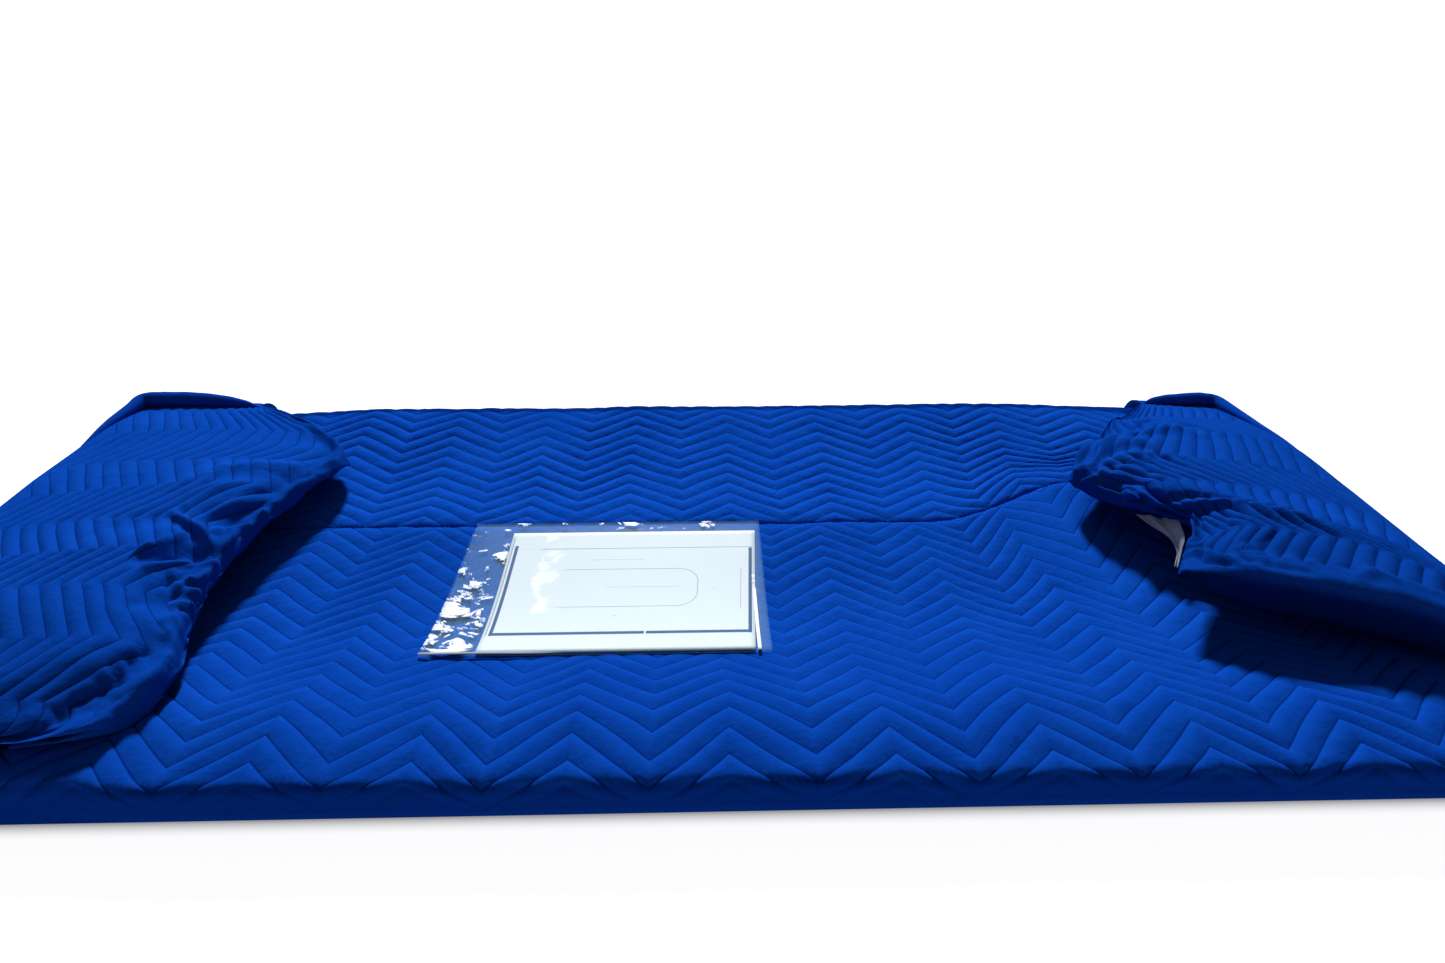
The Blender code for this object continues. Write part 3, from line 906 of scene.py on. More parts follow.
@dataclass(frozen=True)
class ClearFilm:
    """Clear flexible film, on a UV map of its size in metres, with painted glare on its left: white
    reflection patches.
    """

    name: str
    glare_painted: bool = True
    veil: float = 0.040
    tint: tuple = (0.34, 0.72, 1.0, 1.0)
    white: tuple = (0.84, 0.90, 1.0, 1.0)
    whitest: float = 0.3
    wrinkles: Grain = Grain(22.0)
    wrinkle_height: float = 0.002
    wrinkle_strength: float = 0.3
    stretch: tuple = (0.6, 1.0, 1.0)
    # Painted glare: white reflection patches on the left margin, glints by the back edge, along the
    # front hem and on the weld by the right end.
    spots: Grain = Grain(42.0, 8.0, 0.70, 0.7)
    margin: tuple = (0.054, 0.060)
    front: tuple = (0.06, 0.25)
    front_lift: float = 0.050
    glare_patch_band: tuple = (0.565, 0.585)
    glare_patch_white: float = 0.9
    back: tuple = (0.014, 0.022)
    back_glint_band: tuple = (0.590, 0.610)
    back_glint_white: float = 0.8
    hem: tuple = (0.2795, 0.2815)
    hem_end: tuple = (0.06, 0.18)
    weld_glints: tuple = (0.3835, 0.3845, 0.3870, 0.3885)
    weld_glints_band: tuple = (0.70, 1.10)
    roughness: float = 0.35
    gloss: float = 0.10

    def make(self) -> bpy.types.Material:
        """Makes the material.

        Returns:
            The material.
        """
        weave = Weaver(self.name)
        uv, along, across = weave.places()
        colour, alpha = self.tint, self.veil
        # Painted glare: white patches on the film's veil, standing in for its reflections.
        if self.glare_painted:
            glare_paint = self.glare_paints(weave, uv, along, across)
            alpha = weave.highest(glare_paint, self.veil)
            colour = weave.mix(weave.band(glare_paint, self.veil, self.whitest), self.tint, self.white)
        wrinkle = weave.noise(uv, self.wrinkles) * self.wrinkle_height
        return weave.shade(
            Base_Color=colour, Alpha=alpha, Normal=weave.bump((wrinkle, self.wrinkle_strength)),
            Roughness=self.roughness, Specular_IOR_Level=self.gloss,
        )

    def glare_paints(self, weave: Weaver, uv: Signal, along: Signal, across: Signal) -> Signal:
        """Painted glare: places where the film is painted white for its reflections.

        Args:
            weave: The network to add to.
            uv: The film's coordinates.
            along: Their first part.
            across: Their second part.

        Returns:
            1 in the painted glare and 0 beside it.
        """
        stretched = weave.add("ShaderNodeMapping")
        weave.feed(stretched, {"Vector": uv, "Scale": self.stretch})
        spots = weave.noise(Signal(weave, stretched.outputs[0]), self.spots)
        front = weave.band(across, *self.front)
        lifted = weave.math("MULTIPLY_ADD", front, self.front_lift, spots)
        glare_patches = weave.band(lifted, *self.glare_patch_band) * (1.0 - weave.band(along, *self.margin))
        back_glints = weave.band(spots, *self.back_glint_band) * (1.0 - weave.band(across, *self.back))
        hem = weave.band(across, *self.hem) * (1.0 - weave.band(along, *self.hem_end))
        weld_glints = weave.band(along, *self.weld_glints[:2]) - weave.band(along, *self.weld_glints[2:])
        weld_glints = weld_glints * weave.band(spots + front, *self.weld_glints_band)
        return weave.highest(glare_patches * self.glare_patch_white, back_glints * self.back_glint_white, hem, weld_glints)


@dataclass(frozen=True)
class InkBar:
    """Straight printed line as a box on the card, in metres from its back left corner."""

    left: float
    right: float
    back: float
    front: float
    strength: float


@dataclass(frozen=True)
class PrintedCard:
    """White card with printed lines: a border, a few rules and an open rounded outline, with
    painted glare on its left part.
    """

    name: str
    paper: tuple = (0.655, 0.715, 0.755, 1.0)
    paler: tuple = (0.68, 0.735, 0.77, 1.0)
    # Colour of the painted glare of the film over the card.
    bright: tuple = (0.84, 0.88, 0.91, 1.0)
    ink: tuple = (0.030, 0.070, 0.190, 1.0)
    bars: tuple = tuple(InkBar(*row) for row in metres(
        (7, 11.5, 30, 220.5, 1000),
        (3, 4.2, 12, 220.5, 700),
        (7, 198.5, 214, 220, 1000),
        (201, 332, 214, 220, 1000),
        (328, 332.5, 40, 220.5, 1000),
        (45, 333, 37.5, 38.8, 650),
        (10, 45, 37.5, 38.8, 150),
        (112, 187, 63.2, 64, 420),
        (140, 236, 121.5, 122.3, 420),
        (278, 288, 126.2, 127, 400),
        (317.5, 318.3, 87, 170, 600),
        (157, 159, 180.5, 182, 600),
    ))
    bar_blur: float = 0.0004
    outline_middle: tuple = (0.160, 0.1232)
    outline_half: tuple = (0.1010, 0.0390)
    outline_corner: float = 0.027
    outline_start: tuple = (0.066, 0.096)
    outline_width: tuple = (0.0003, 0.0008)
    outline_ink: float = 0.60
    fibres: Grain = Grain(400.0)
    fibre_band: tuple = (0.2, 0.8)
    waves: Grain = Grain(30.0)
    wave_height: float = 0.0006
    wave_strength: float = 0.4
    spots: Grain = Grain(30.0, 8.0, 0.68, 0.8)
    spot_band: tuple = (0.760, 0.860)
    spot_lift: float = 0.30
    shine_along: tuple = (0.030, 0.050, 0.062, 0.105)
    shine_across: tuple = (0.17, 0.21)
    roughness: float = 0.7
    gloss: float = 0.1

    def make(self) -> bpy.types.Material:
        """Makes the material.

        Returns:
            The material.
        """
        weave = Weaver(self.name)
        uv, along, across = weave.places()
        marks = [self.bar(weave, along, across, bar) * bar.strength for bar in self.bars]
        printed = weave.highest(self.outline(weave, along, across) * self.outline_ink, *marks)
        fibres = weave.band(weave.noise(uv, self.fibres), *self.fibre_band)
        paper = weave.mix(fibres, self.paper, self.paler)
        # Painted glare of the film: whiter patches on the card's left part.
        paper = weave.mix(self.shine(weave, uv, along, across), paper, self.bright)
        height = weave.noise(uv, self.waves) * self.wave_height
        return weave.shade(
            Base_Color=weave.mix(printed, paper, self.ink),
            Normal=weave.bump((height, self.wave_strength)),
            Roughness=self.roughness, Specular_IOR_Level=self.gloss,
        )

    def shine(self, weave: Weaver, uv: Signal, along: Signal, across: Signal) -> Signal:
        """Mask of the painted glare: brighter patches on the card's left part, where its film
        shines.

        Args:
            weave: The network to add to.
            uv: The card's coordinates.
            along: Their first part.
            across: Their second part.

        Returns:
            1 in a patch and 0 beside it.
        """
        middle = weave.band(along, *self.shine_along[:2]) - weave.band(along, *self.shine_along[2:])
        middle = middle * (1.0 - weave.band(across, *self.shine_across))
        spots = weave.noise(uv, self.spots)
        spots = weave.math("MULTIPLY_ADD", middle, self.spot_lift, spots)
        return weave.band(spots, *self.spot_band)

    def bar(self, weave: Weaver, along: Signal, across: Signal, bar: InkBar) -> Signal:
        """Mask of one printed bar.

        Args:
            weave: The network to add to.
            along: First coordinate of the card.
            across: Second coordinate.
            bar: The bar.

        Returns:
            1 on the bar and 0 beside it.
        """
        depths = (
            (high - low) / 2 - abs(value - (low + high) / 2)
            for value, low, high in ((along, bar.left, bar.right), (across, bar.back, bar.front))
        )
        return weave.band(weave.math("MINIMUM", *depths), -self.bar_blur, self.bar_blur)

    def outline(self, weave: Weaver, along: Signal, across: Signal) -> Signal:
        """Mask of the rounded outline, which is open on its left.

        Args:
            weave: The network to add to.
            along: First coordinate of the card.
            across: Second coordinate.

        Returns:
            1 on the line and 0 beside it.
        """
        first, second = (
            weave.highest(abs(value - middle) - (half - self.outline_corner), 0.0)
            for value, middle, half in zip((along, across), self.outline_middle, self.outline_half)
        )
        off = weave.math("SQRT", first * first + second * second) - self.outline_corner
        line = 1.0 - weave.band(abs(off), *self.outline_width)
        return line * weave.band(along, *self.outline_start)


@dataclass(frozen=True)
class Level:
    """Height of the stitch lines at one place across the cover."""

    y: float
    z: float


def height_at(levels: Sequence[Level], y: Array) -> Array:
    """Height of the stitch lines at places across the cover, on a smooth curve."""
    ordered = sorted(levels, key=lambda level: level.y)
    heights = np.array([level.z for level in ordered])
    return smooth_through([level.y for level in ordered], heights, y)


@dataclass
class Panel:
    """One part of the main panel, from its seam over the roll and back along the floor."""

    name: str
    levels: tuple
    toward: int
    nose_y: float
    skirt_end_y: float
    drop_start_x: float
    drop_share: float
    lean: Lean
    puff: float
    lumps: Ripple
    # Brightness factor of the finish, painted light, and strength of the painted shade along its
    # stitch lines.
    light: float
    groove_shade_strength: float
    quilt: Quilt = field(default_factory=Quilt)
    end_x: float = 0.925
    corner: float = 0.080
    seam_y: float = 0.060
    seam_gap: float = 0.0010
    seam_rise: tuple = (0.0, 0.018)
    seam_puff: float = 0.35
    flat_z: float = 0.0225
    top_thickness: float = 0.010
    skirt_thickness: float = 0.0085
    edge_thickness: float = 0.3
    edge_thinning: float = 0.45
    nose_share: float = 0.42
    turn_under: float = 0.018
    boxy: float = 2.0
    bulge: float = 0.0
    bulge_x: tuple = (-0.60, -0.50)
    bulge_y: tuple = (0.34, 0.41)
    bulge_z: tuple = (0.0, 0.03)
    pressed: tuple = ()
    pressed_margin: float = 0.02
    pressed_share: float = 0.6
    fan: tuple = (0.0, 0.0)
    fan_middle: float = 0.05
    fan_fade: tuple = (0.45, 0.88)
    gather_y: float = 0.100
    gather_width: float = 0.125
    gather_x: tuple = (0.36, 0.60)
    past_crest: float = 0.020
    swayed: tuple = (0.0, 0.030)
    swayed_end: float = 0.05
    sway_x: Ripple = Ripple(0.0060, 0.15, 71, 2)
    sway_run: Ripple = Ripple(0.0032, 0.13, 77)
    fullness: Ripple = Ripple(0.35, 0.11, 3, 2)
    crumples: Ripple = Ripple(0.0004, 0.022, 8, 2)
    face_calm: float = 0.6
    samples: int = 80
    slope_step: float = 0.003
    turn_rows: tuple = (0.2, 0.4, 0.6, 0.8, 0.9)
    skirt_rows: int = 6

    def __post_init__(self) -> None:
        """Works out the section's line, and the lengths of cloth along it."""
        crest = self.levels[-1]
        nose_z = crest.z * self.nose_share
        reach = self.nose_y - abs(crest.y)
        power = 2 / self.boxy
        top_y = np.linspace(self.levels[0].y, crest.y, self.samples, endpoint=False)
        turn = ease(np.linspace(0, 1, self.samples, endpoint=False), 0.0, 1.0) * np.pi / 2
        face_y = crest.y + self.toward * reach * np.sin(turn) ** power
        face_z = nose_z + (crest.z - nose_z) * np.cos(turn) ** power
        under_y = self.toward * (self.nose_y - self.turn_under * (1 - np.cos(turn)))
        under_z = nose_z * (1 - np.sin(turn))
        floor_y = (self.toward * (self.nose_y - self.turn_under), self.skirt_end_y)
        self.y = np.concatenate((top_y, face_y, under_y, floor_y))
        self.z = np.concatenate((height_at(self.levels, top_y), face_z, under_z, (0.0, 0.0)))
        self.length = runs_along(np.stack((self.y, self.z), axis=1))
        self.crest_run = self.length[self.samples]
        self.top_end = self.length[2 * self.samples]
        self.floor_start = self.length[-2]
        self.total = self.length[-1]

    def section(self, run: Array) -> tuple:
        """Section of the panel at lengths of cloth from the seam.

        Args:
            run: Lengths of cloth.

        Returns:
            Y, Z and the outward direction's Y and Z.
        """
        before = np.maximum(run - self.slope_step, 0.0)
        after = np.minimum(run + self.slope_step, self.total)
        y, z = (np.interp(run, self.length, line) for line in (self.y, self.z))
        dy, dz = (
            np.interp(after, self.length, line) - np.interp(before, self.length, line)
            for line in (self.y, self.z)
        )
        size = np.maximum(np.hypot(dy, dz), 1e-9)
        floor = run >= self.floor_start - 1e-6
        out_y = np.where(floor, 0.0, -self.toward * dz / size)
        out_z = np.where(floor, -1.0, self.toward * dy / size)
        return y, z, out_y, out_z

    def shaped(self, x: Array, y: Array, z: Array) -> Array:
        """Adds the low ends, the gather by the right pocket, the bulge and the round corners.

        Args:
            x: Places along the cover.
            y: Places of the section across it.
            z: Heights of the section.

        Returns:
            The points.
        """
        drop = self.drop_share * ease(np.abs(x), self.drop_start_x, self.end_x)
        z = z - drop * np.maximum(z - self.flat_z, 0.0)
        pull = self.gather_y * ease(x, *self.gather_x) * bell(y, self.seam_y, self.gather_width)
        y = y + np.where(z > self.skirt_thickness, pull, 0.0)
        belly = ease(np.abs(y), *self.bulge_y) * ease(z, *self.bulge_z) * ease(x, *self.bulge_x)
        y = y + self.toward * self.bulge * belly
        x, y = rounded_plan(x, y, self.end_x, self.nose_y + self.bulge, self.corner)
        return np.stack((x, y, z), axis=1)

    def edge(self, x: Array, run: Array) -> Array:
        """Share of the cloth's thickness, less at its edges."""
        return rounded_share(np.minimum(self.end_x - np.abs(x), np.minimum(run, self.total - run)))

    def pressing(self, x: Array, y: Array) -> Array:
        """How far the pouch presses the rows down.

        Args:
            x: Places along the cover.
            y: Places across it.

        Returns:
            1 under the pouch and 0 beside it.
        """
        if not self.pressed:
            return np.zeros_like(x)
        left, right, low, high = self.pressed
        margin = self.pressed_margin
        under = ease(x, left, left + margin) * (1 - ease(x, right - margin, right))
        return under * ease(y, low, low + margin) * (1 - ease(y, high - margin, high))

    def outer(self, x: Array, run: Array) -> Array:
        """Points of the outer face.

        Args:
            x: Places along the cover.
            run: Lengths of cloth from the seam.

        Returns:
            The points.
        """
        inside = ease(run, *self.swayed) * (1 - ease(run, self.top_end, self.floor_start))
        inside = inside * (1 - ease(np.abs(x), self.end_x - self.swayed_end, self.end_x))
        moved_x = x + inside * self.sway_x.at(x, run)
        fan = np.interp(run, (0.0, self.crest_run), self.fan)
        moved_x = moved_x + fan * (x - self.fan_middle) * (1 - ease(np.abs(x), *self.fan_fade))
        y, z, out_y, out_z = self.section(run + inside * self.sway_run.at(x, run))
        quilted = 1 - ease(run, self.crest_run + self.past_crest, self.top_end)
        quilted *= self.seam_puff + (1 - self.seam_puff) * ease(run, *self.seam_rise)
        height = self.puff * (1 + self.fullness.at(x, run))
        rise = height * self.quilt.rise(self.quilt.share(x, run, 1), self.lean) * quilted
        top = 1 - ease(run, self.top_end, self.floor_start)
        top = top * (1 - self.face_calm * ease(run, self.crest_run, self.top_end))
        rise += (self.lumps.at(x, run) + self.crumples.at(x, run)) * top
        rise *= 1 - self.pressed_share * self.pressing(x, y)
        thin = (1 - self.edge(x, run)) * self.edge_thinning * self.top_thickness
        rise -= np.where(run < self.floor_start, thin, 0.0)
        return self.shaped(moved_x, y + out_y * rise, np.maximum(z + out_z * rise, 0.0))

    def inner(self, x: Array, run: Array) -> Array:
        """Points of the inner face.

        Args:
            x: Places along the cover.
            run: Lengths of cloth from the seam.

        Returns:
            The points.
        """
        y, z, out_y, out_z = self.section(run)
        share = ease(run, self.top_end, self.floor_start)
        thickness = self.top_thickness + (self.skirt_thickness - self.top_thickness) * share
        thickness *= self.edge_thickness + (1 - self.edge_thickness) * self.edge(x, run)
        return self.shaped(x, y - out_y * thickness, z - out_z * thickness)

    def satin(self) -> QuiltedSatin:
        """Finish of the panel, with painted shade down its face from the crest of the roll and on
        the rows towards the roll.

        Returns:
            The finish.
        """
        crest = float(self.crest_run)
        return QuiltedSatin(
            f"{self.name}_satin", self.quilt, light=self.light, groove_shade_strength=self.groove_shade_strength,
            # Painted shade: the face darkens towards this colour from just past the crest, and the
            # rows towards the roll a little.
            shade=(0.0006, 0.0195, 0.170, 1.0), painted_shade_above=(crest + 0.001, crest + 0.011),
            painted_dim_above=(0.22, 0.32), painted_dim_strength=0.175, plain_above=(crest + 0.010, crest + 0.022),
        )

    def build(self) -> bpy.types.Object:
        """Makes the panel part and puts it in place of its solid.

        Returns:
            The object.
        """
        turn = self.top_end + (self.floor_start - self.top_end) * np.array(self.turn_rows)
        skirt = np.linspace(self.floor_start, self.total, self.skirt_rows)
        sheet = ClothSheet(
            f"{self.name}_cloth", (-self.end_x, self.end_x), (self.seam_gap / 2, self.total),
            self.quilt, plain_rows=(*turn, *skirt), inner_columns=60, inner_rows=30,
        )
        made = sheet.build(self.outer, self.inner)
        dress(made, self.satin().make(), self.name, "blue_quilted_satin")
        2 * self.end_x
        return made


@dataclass(frozen=True)
class Station:
    """Section of a pocket's top from its outer fold to its elastic edge."""

    share: float
    y_outer: float
    y_edge: float
    x_edge: float
    z_fold: float
    z_mid: float
    z_crown: float
    z_edge: float


@dataclass
class Pocket:
    """Pocket folded up over one end of the panel."""

    name: str
    side: Side
    stations: tuple
    creases: tuple
    drift: tuple
    front_wall: bool
    puff: float
    pucker_height: float
    corner: float
    quilt: Quilt
    # Brightness factor of the finish, painted light, and where painted shade darkens the pocket's
    # front part.
    light: float
    painted_dim_past: tuple
    apron: float = 0.0
    lean: Lean = Lean.EVEN
    half_length: float = 0.955
    half_width: float = 0.425
    wall_x: float = 0.050
    wall_y: float = 0.050
    wall_run: float = 0.110
    top_run: float = 0.390
    gathering: float = 1.04
    height_places: tuple = (0.0, 0.45, 0.78, 1.0)
    thickness: float = 0.008
    outer_thinning: float = 0.45
    inner_thinning: float = 0.25
    pucker_pitch: float = 0.075
    pucker_reach: float = 0.110
    pucker_start: tuple = (0.03, 0.15)
    pucker_end: tuple = (0.10, 0.03)
    pucker_calm: float = 0.8
    crumples: Ripple = Ripple(0.0022, 0.030, 21)
    deepest: float = -0.0045
    deeper: float = 0.25
    hem_run: float = 0.030
    hem_height: float = 0.0065
    hem_roll: tuple = (0.012, 0.009)
    hem_lumps: Ripple = Ripple(0.7, 0.018, 23, 1)
    hem_valley: float = 0.0030
    hem_valley_place: tuple = (0.033, 0.009)
    hem_tuck: float = 0.0080
    hem_tuck_run: float = 0.010
    swells: Ripple = Ripple(0.0014, 0.10, 31)
    swells_start: tuple = (0.5, 1.3)
    fullness: Ripple = Ripple(0.30, 0.11, 13, 2)
    sway_along: Ripple = Ripple(0.005, 0.15, 81, 2)
    sway_across: Ripple = Ripple(0.003, 0.12, 87)
    quilted_across: tuple = (0.9, 1.4)
    quilted_along: tuple = (0.9, 1.35)
    quilted_wall: tuple = (0.015, 0.050)
    quilted_mouth: tuple = (-0.025, 0.004)
    quilted_hem: float = 0.006
    apron_round: float = 0.014
    apron_lean: float = 0.3
    apron_start: tuple = (0.10, 0.20)
    apron_stop: tuple = (0.37, 0.50)
    apron_short: float = 0.85
    slope_step: float = 0.006

    def __post_init__(self) -> None:
        """Works out the size of the cloth."""
        self.shares = [station.share for station in self.stations]
        self.top_along = self.stations[0].y_edge - self.stations[-1].y_edge
        self.along = self.wall_run + self.top_along + (self.wall_run if self.front_wall else 0.0)
        self.across = self.wall_run + self.top_run
        self.cloth_end = self.along + self.apron - self.drift[-1][1]

    def curve(self, column: str, share: Array) -> Array:
        """Value of one of the stations' columns at shares along the pocket."""
        values = np.array([getattr(station, column) for station in self.stations])
        return smooth_through(self.shares, values, share)

    def base(self, along: Array, across: Array, inset: float) -> Array:
        """Points of the smooth cloth, without creases or quilting.

        Args:
            along: Lengths of cloth from the back floor edge.
            across: Lengths from the outer floor edge.
            inset: How far in from the outer face.

        Returns:
            The points.
        """
        past = np.clip(along - self.along, 0.0, self.apron) * ease(across, *self.apron_start)
        past = past * (1 - self.apron_short * ease(across, *self.apron_stop))
        along = np.clip(along, 0.0, self.along)
        share = (along - self.wall_run) / self.top_along
        wall = np.where(share < 0, 1.0, np.where(share > 1, -1.0, 0.0))
        turn = np.full(len(along), np.pi / 2)
        turn = np.where(share < 0, along / self.wall_run * np.pi / 2, turn)
        turn = np.where(share > 1, (self.along - along) / self.wall_run * np.pi / 2, turn)
        share = np.clip(share, 0.0, 1.0)
        fold_turn = np.minimum(across / self.wall_run, 1.0) * np.pi / 2
        x_edge = self.curve("x_edge", share)
        reach = self.half_length - self.wall_x - x_edge
        gathered = np.maximum(self.top_run / (self.gathering * reach), 1.0)
        out = 1 - (1 - np.clip((across - self.wall_run) / self.top_run, 0.0, 1.0)) ** gathered
        fold_x = self.half_length - inset - (self.wall_x - inset) * (1 - np.cos(fold_turn))
        x = fold_x + (x_edge - fold_x) * out
        y = self.curve("y_outer", share)
        y = y + (self.curve("y_edge", share) - y) * out
        y = y + wall * (self.wall_y - inset) * np.cos(turn)
        heights = [self.curve(c, share) for c in ("z_fold", "z_mid", "z_crown", "z_edge")]
        top = smooth_through(self.height_places, np.array(heights), out) - inset
        z = top * np.sin(fold_turn) * np.sin(turn)
        arc = self.apron_round * np.pi / 2
        bend = np.minimum(past / arc, 1.0) * np.pi / 2
        down = np.maximum(past - arc, 0.0)
        y = y - (self.apron_round - inset) * np.sin(bend) + self.apron_lean * down
        z = z - (self.apron_round - inset) * (1 - np.cos(bend)) - down
        half_x, half_y = self.half_length - inset, self.half_width - inset
        new_x, new_y = rounded_plan(x, y, half_x, half_y, self.corner - inset)
        rounded = (y > 0) | self.front_wall
        x, y = np.where(rounded, new_x, x), np.where(rounded, new_y, y)
        return np.stack((self.side.value * x, y, z), axis=1)

    def outward(self, along: Array, across: Array) -> Array:
        """Directions away from the smooth cloth.

        Args:
            along: Lengths of cloth from the back floor edge.
            across: Lengths from the outer floor edge.

        Returns:
            One direction of length 1 a place.
        """
        step = self.slope_step
        forward = self.base(along + step, across, 0.0) - self.base(along - step, across, 0.0)
        sideways = self.base(along, across + step, 0.0) - self.base(along, across - step, 0.0)
        normal = np.cross(sideways, forward) * self.side.value
        return normal / np.maximum(np.linalg.norm(normal, axis=1, keepdims=True), 1e-9)

    def drifted(self, along: Array) -> Array:
        """Places along the pocket where the pattern's places lie, as the cloth is stretched."""
        places, shifts = zip(*self.drift)
        return along + smooth_through(places, np.array(shifts), along)

    def crumple(self, along: Array, across: Array) -> Array:
        """Height of the gathers, the creases and the hem.

        Args:
            along: Lengths of cloth from the back floor edge.
            across: Lengths from the outer floor edge.

        Returns:
            The height at each place.
        """
        near = ease(across, self.across - self.pucker_reach, self.across - self.hem_run)
        near = near * ease(along, *(self.wall_run + place for place in self.pucker_start))
        if not self.front_wall:
            ending = ease(along, *(self.along - place for place in self.pucker_end))
            near = near * (1 - self.pucker_calm * ending)
        rise = self.pucker_height * near * np.cos(2 * np.pi * along / self.pucker_pitch)
        for crease in self.creases:
            rise = rise + crease.rise(along, across)
        eased = self.deepest + self.deeper * (rise - self.deepest)
        rise = np.where(rise < self.deepest, eased, rise)
        place, width = self.hem_roll
        hem = self.hem_height * bell(across, self.across - place, width)
        hem = hem * (1 + self.hem_lumps.at(along, across))
        place, width = self.hem_valley_place
        hem = hem - self.hem_valley * bell(across, self.across - place, width)
        hem = hem - self.hem_tuck * ease(across, self.across - self.hem_tuck_run, self.across)
        rise = rise + near * (self.crumples.at(along, across) + hem)
        top = ease(across, *(self.wall_run * share for share in self.swells_start))
        return rise + top * self.swells.at(along, across)

    def edge(self, along: Array, across: Array) -> Array:
        """Share of the cloth's thickness, less at its edges."""
        return rounded_share(np.minimum(self.across - across, self.cloth_end - along))

    def raised(self, along: Array, across: Array, inset: float, rise: Array) -> Array:
        """Points raised from the smooth cloth, and kept over the floor.

        Args:
            along: Lengths of cloth from the back floor edge.
            across: Lengths from the outer floor edge.
            inset: How far in from the outer face.
            rise: Heights.

        Returns:
            The points.
        """
        points = self.base(along, across, inset) + rise[:, None] * self.outward(along, across)
        points[:, 2] = np.maximum(points[:, 2], 0.0)
        return points

    def outer(self, along: Array, across: Array) -> Array:
        """Points of the outer face.

        Args:
            along: Lengths of cloth from the back floor edge.
            across: Lengths from the outer floor edge.

        Returns:
            The points.
        """
        placed = self.drifted(along)
        top = ease(across, *(self.wall_run * share for share in self.quilted_across))
        top = top * ease(placed, *(self.wall_run * share for share in self.quilted_along))
        if self.front_wall:
            top = top * ease(self.along - placed, *self.quilted_wall)
        else:
            top = top * (1 - ease(placed, *(self.along + place for place in self.quilted_mouth)))
        hem = ease(across, self.across - self.hem_run, self.across - self.quilted_hem)
        top = top * (1 - hem)
        share = self.quilt.share(along, across, self.side.value)
        rise = self.puff * self.quilt.rise(share, self.lean) * top
        rise = rise * (1 + self.fullness.at(along, across))
        along_at = placed + top * self.sway_along.at(along, across)
        across_at = across + top * self.sway_across.at(along, across)
        thin = (1 - self.edge(along, across)) * self.outer_thinning * self.thickness
        rise = rise + self.crumple(along_at, across_at) - thin
        return self.raised(along_at, across_at, 0.0, rise)

    def inner(self, along: Array, across: Array) -> Array:
        """Points of the inner face.

        Args:
            along: Lengths of cloth from the back floor edge.
            across: Lengths from the outer floor edge.

        Returns:
            The points.
        """
        thin = (1 - self.edge(along, across)) * self.inner_thinning * self.thickness
        placed = self.drifted(along)
        return self.raised(placed, across, self.thickness, self.crumple(placed, across) + thin)

    def satin(self) -> QuiltedSatin:
        """Finish of the pocket, with painted shade by its elastic edge, towards its front end and
        on its apron.

        Returns:
            The finish.
        """
        # On the apron the stitching stops and the cloth takes painted shade.
        past = {"plain_past": float(self.cloth_end - self.apron)} if self.apron else {}
        return QuiltedSatin(
            f"{self.name}_satin", self.quilt, self.side.value, self.light, groove_shade_strength=0.62,
            painted_dim_above=(0.45, 0.49), painted_dim_past=self.painted_dim_past, painted_dim_strength=0.34,
            plain_below=(0.055, 0.11), plain_above=(0.46, 0.485), **past,
        )

    def build(self) -> bpy.types.Object:
        """Makes the pocket and puts it in place of its solid.

        Returns:
            The object.
        """
        flat = (float(self.cloth_end), float(self.across))
        sheet = ClothSheet(
            f"{self.name}_cloth", (0.0, flat[0]), (0.0, flat[1]), self.quilt, self.side.value,
            column_step=0.0042, inner_columns=70, inner_rows=44,
        )
        made = sheet.build(self.outer, self.inner)
        dress(made, self.satin().make(), self.name, "blue_quilted_satin")
        return made


@dataclass
class Rim:
    """Rolled rim round the back corner of a pocket."""

    name: str
    pocket: Pocket
    path: tuple
    radius: float = 0.0130
    sunk: float = 0.0015
    end_sunk: float = 0.0020
    tip: float = 0.6
    lumps: Ripple = Ripple(0.06, 0.05, 41, 1)
    sides: int = 20
    steps: int = 90

    def build(self, finish: bpy.types.Material) -> bpy.types.Object:
        """Makes the rim and puts it in place of its solid.

        Args:
            finish: Its material.

        Returns:
            The object.
        """
        table = np.array(self.path)
        runs = runs_along(table[:, :2])
        run = np.linspace(0.0, runs[-1], self.steps + 1)
        along, across, swell = (smooth_through(runs, column, run) for column in table.T)
        radius = self.radius * swell * (1 + self.lumps.at(run, run))
        outward = self.pocket.outward(along, across)
        lift = (radius - self.sunk - (1 - swell) * self.end_sunk)[:, None]
        centre = self.pocket.base(along, across, 0.0) + lift * outward
        ahead = np.gradient(centre, axis=0)
        ahead /= np.linalg.norm(ahead, axis=1, keepdims=True)
        sideways = np.cross(ahead, outward)
        sideways /= np.linalg.norm(sideways, axis=1, keepdims=True)
        upward = np.cross(sideways, ahead)
        angle = np.linspace(0, 2 * np.pi, self.sides, endpoint=False)[None, :, None]
        spokes = np.cos(angle) * sideways[:, None] + np.sin(angle) * upward[:, None]
        rings = centre[:, None] + radius[:, None, None] * spokes
        tips = centre[[0, -1]] + self.tip * radius[[0, -1], None] * ahead[[0, -1]] * ((-1,), (1,))
        points = np.concatenate((rings.reshape(-1, 3), tips))
        ring = np.arange(self.sides)
        faces = []
        for low in range(0, self.steps * self.sides, self.sides):
            near, far = low + ring, low + self.sides + ring
            faces += np.stack((near, np.roll(near, -1), np.roll(far, -1), far), axis=1).tolist()
        last = self.steps * self.sides + ring
        for k, after in zip(ring, np.roll(ring, -1)):
            faces.append([int(after), int(k), len(points) - 2])
            faces.append([int(last[k]), int(last[after]), len(points) - 1])
        made = closed_mesh(f"{self.name}_roll", points, faces)
        dress(made, finish, self.name, "blue_binding")
        return made


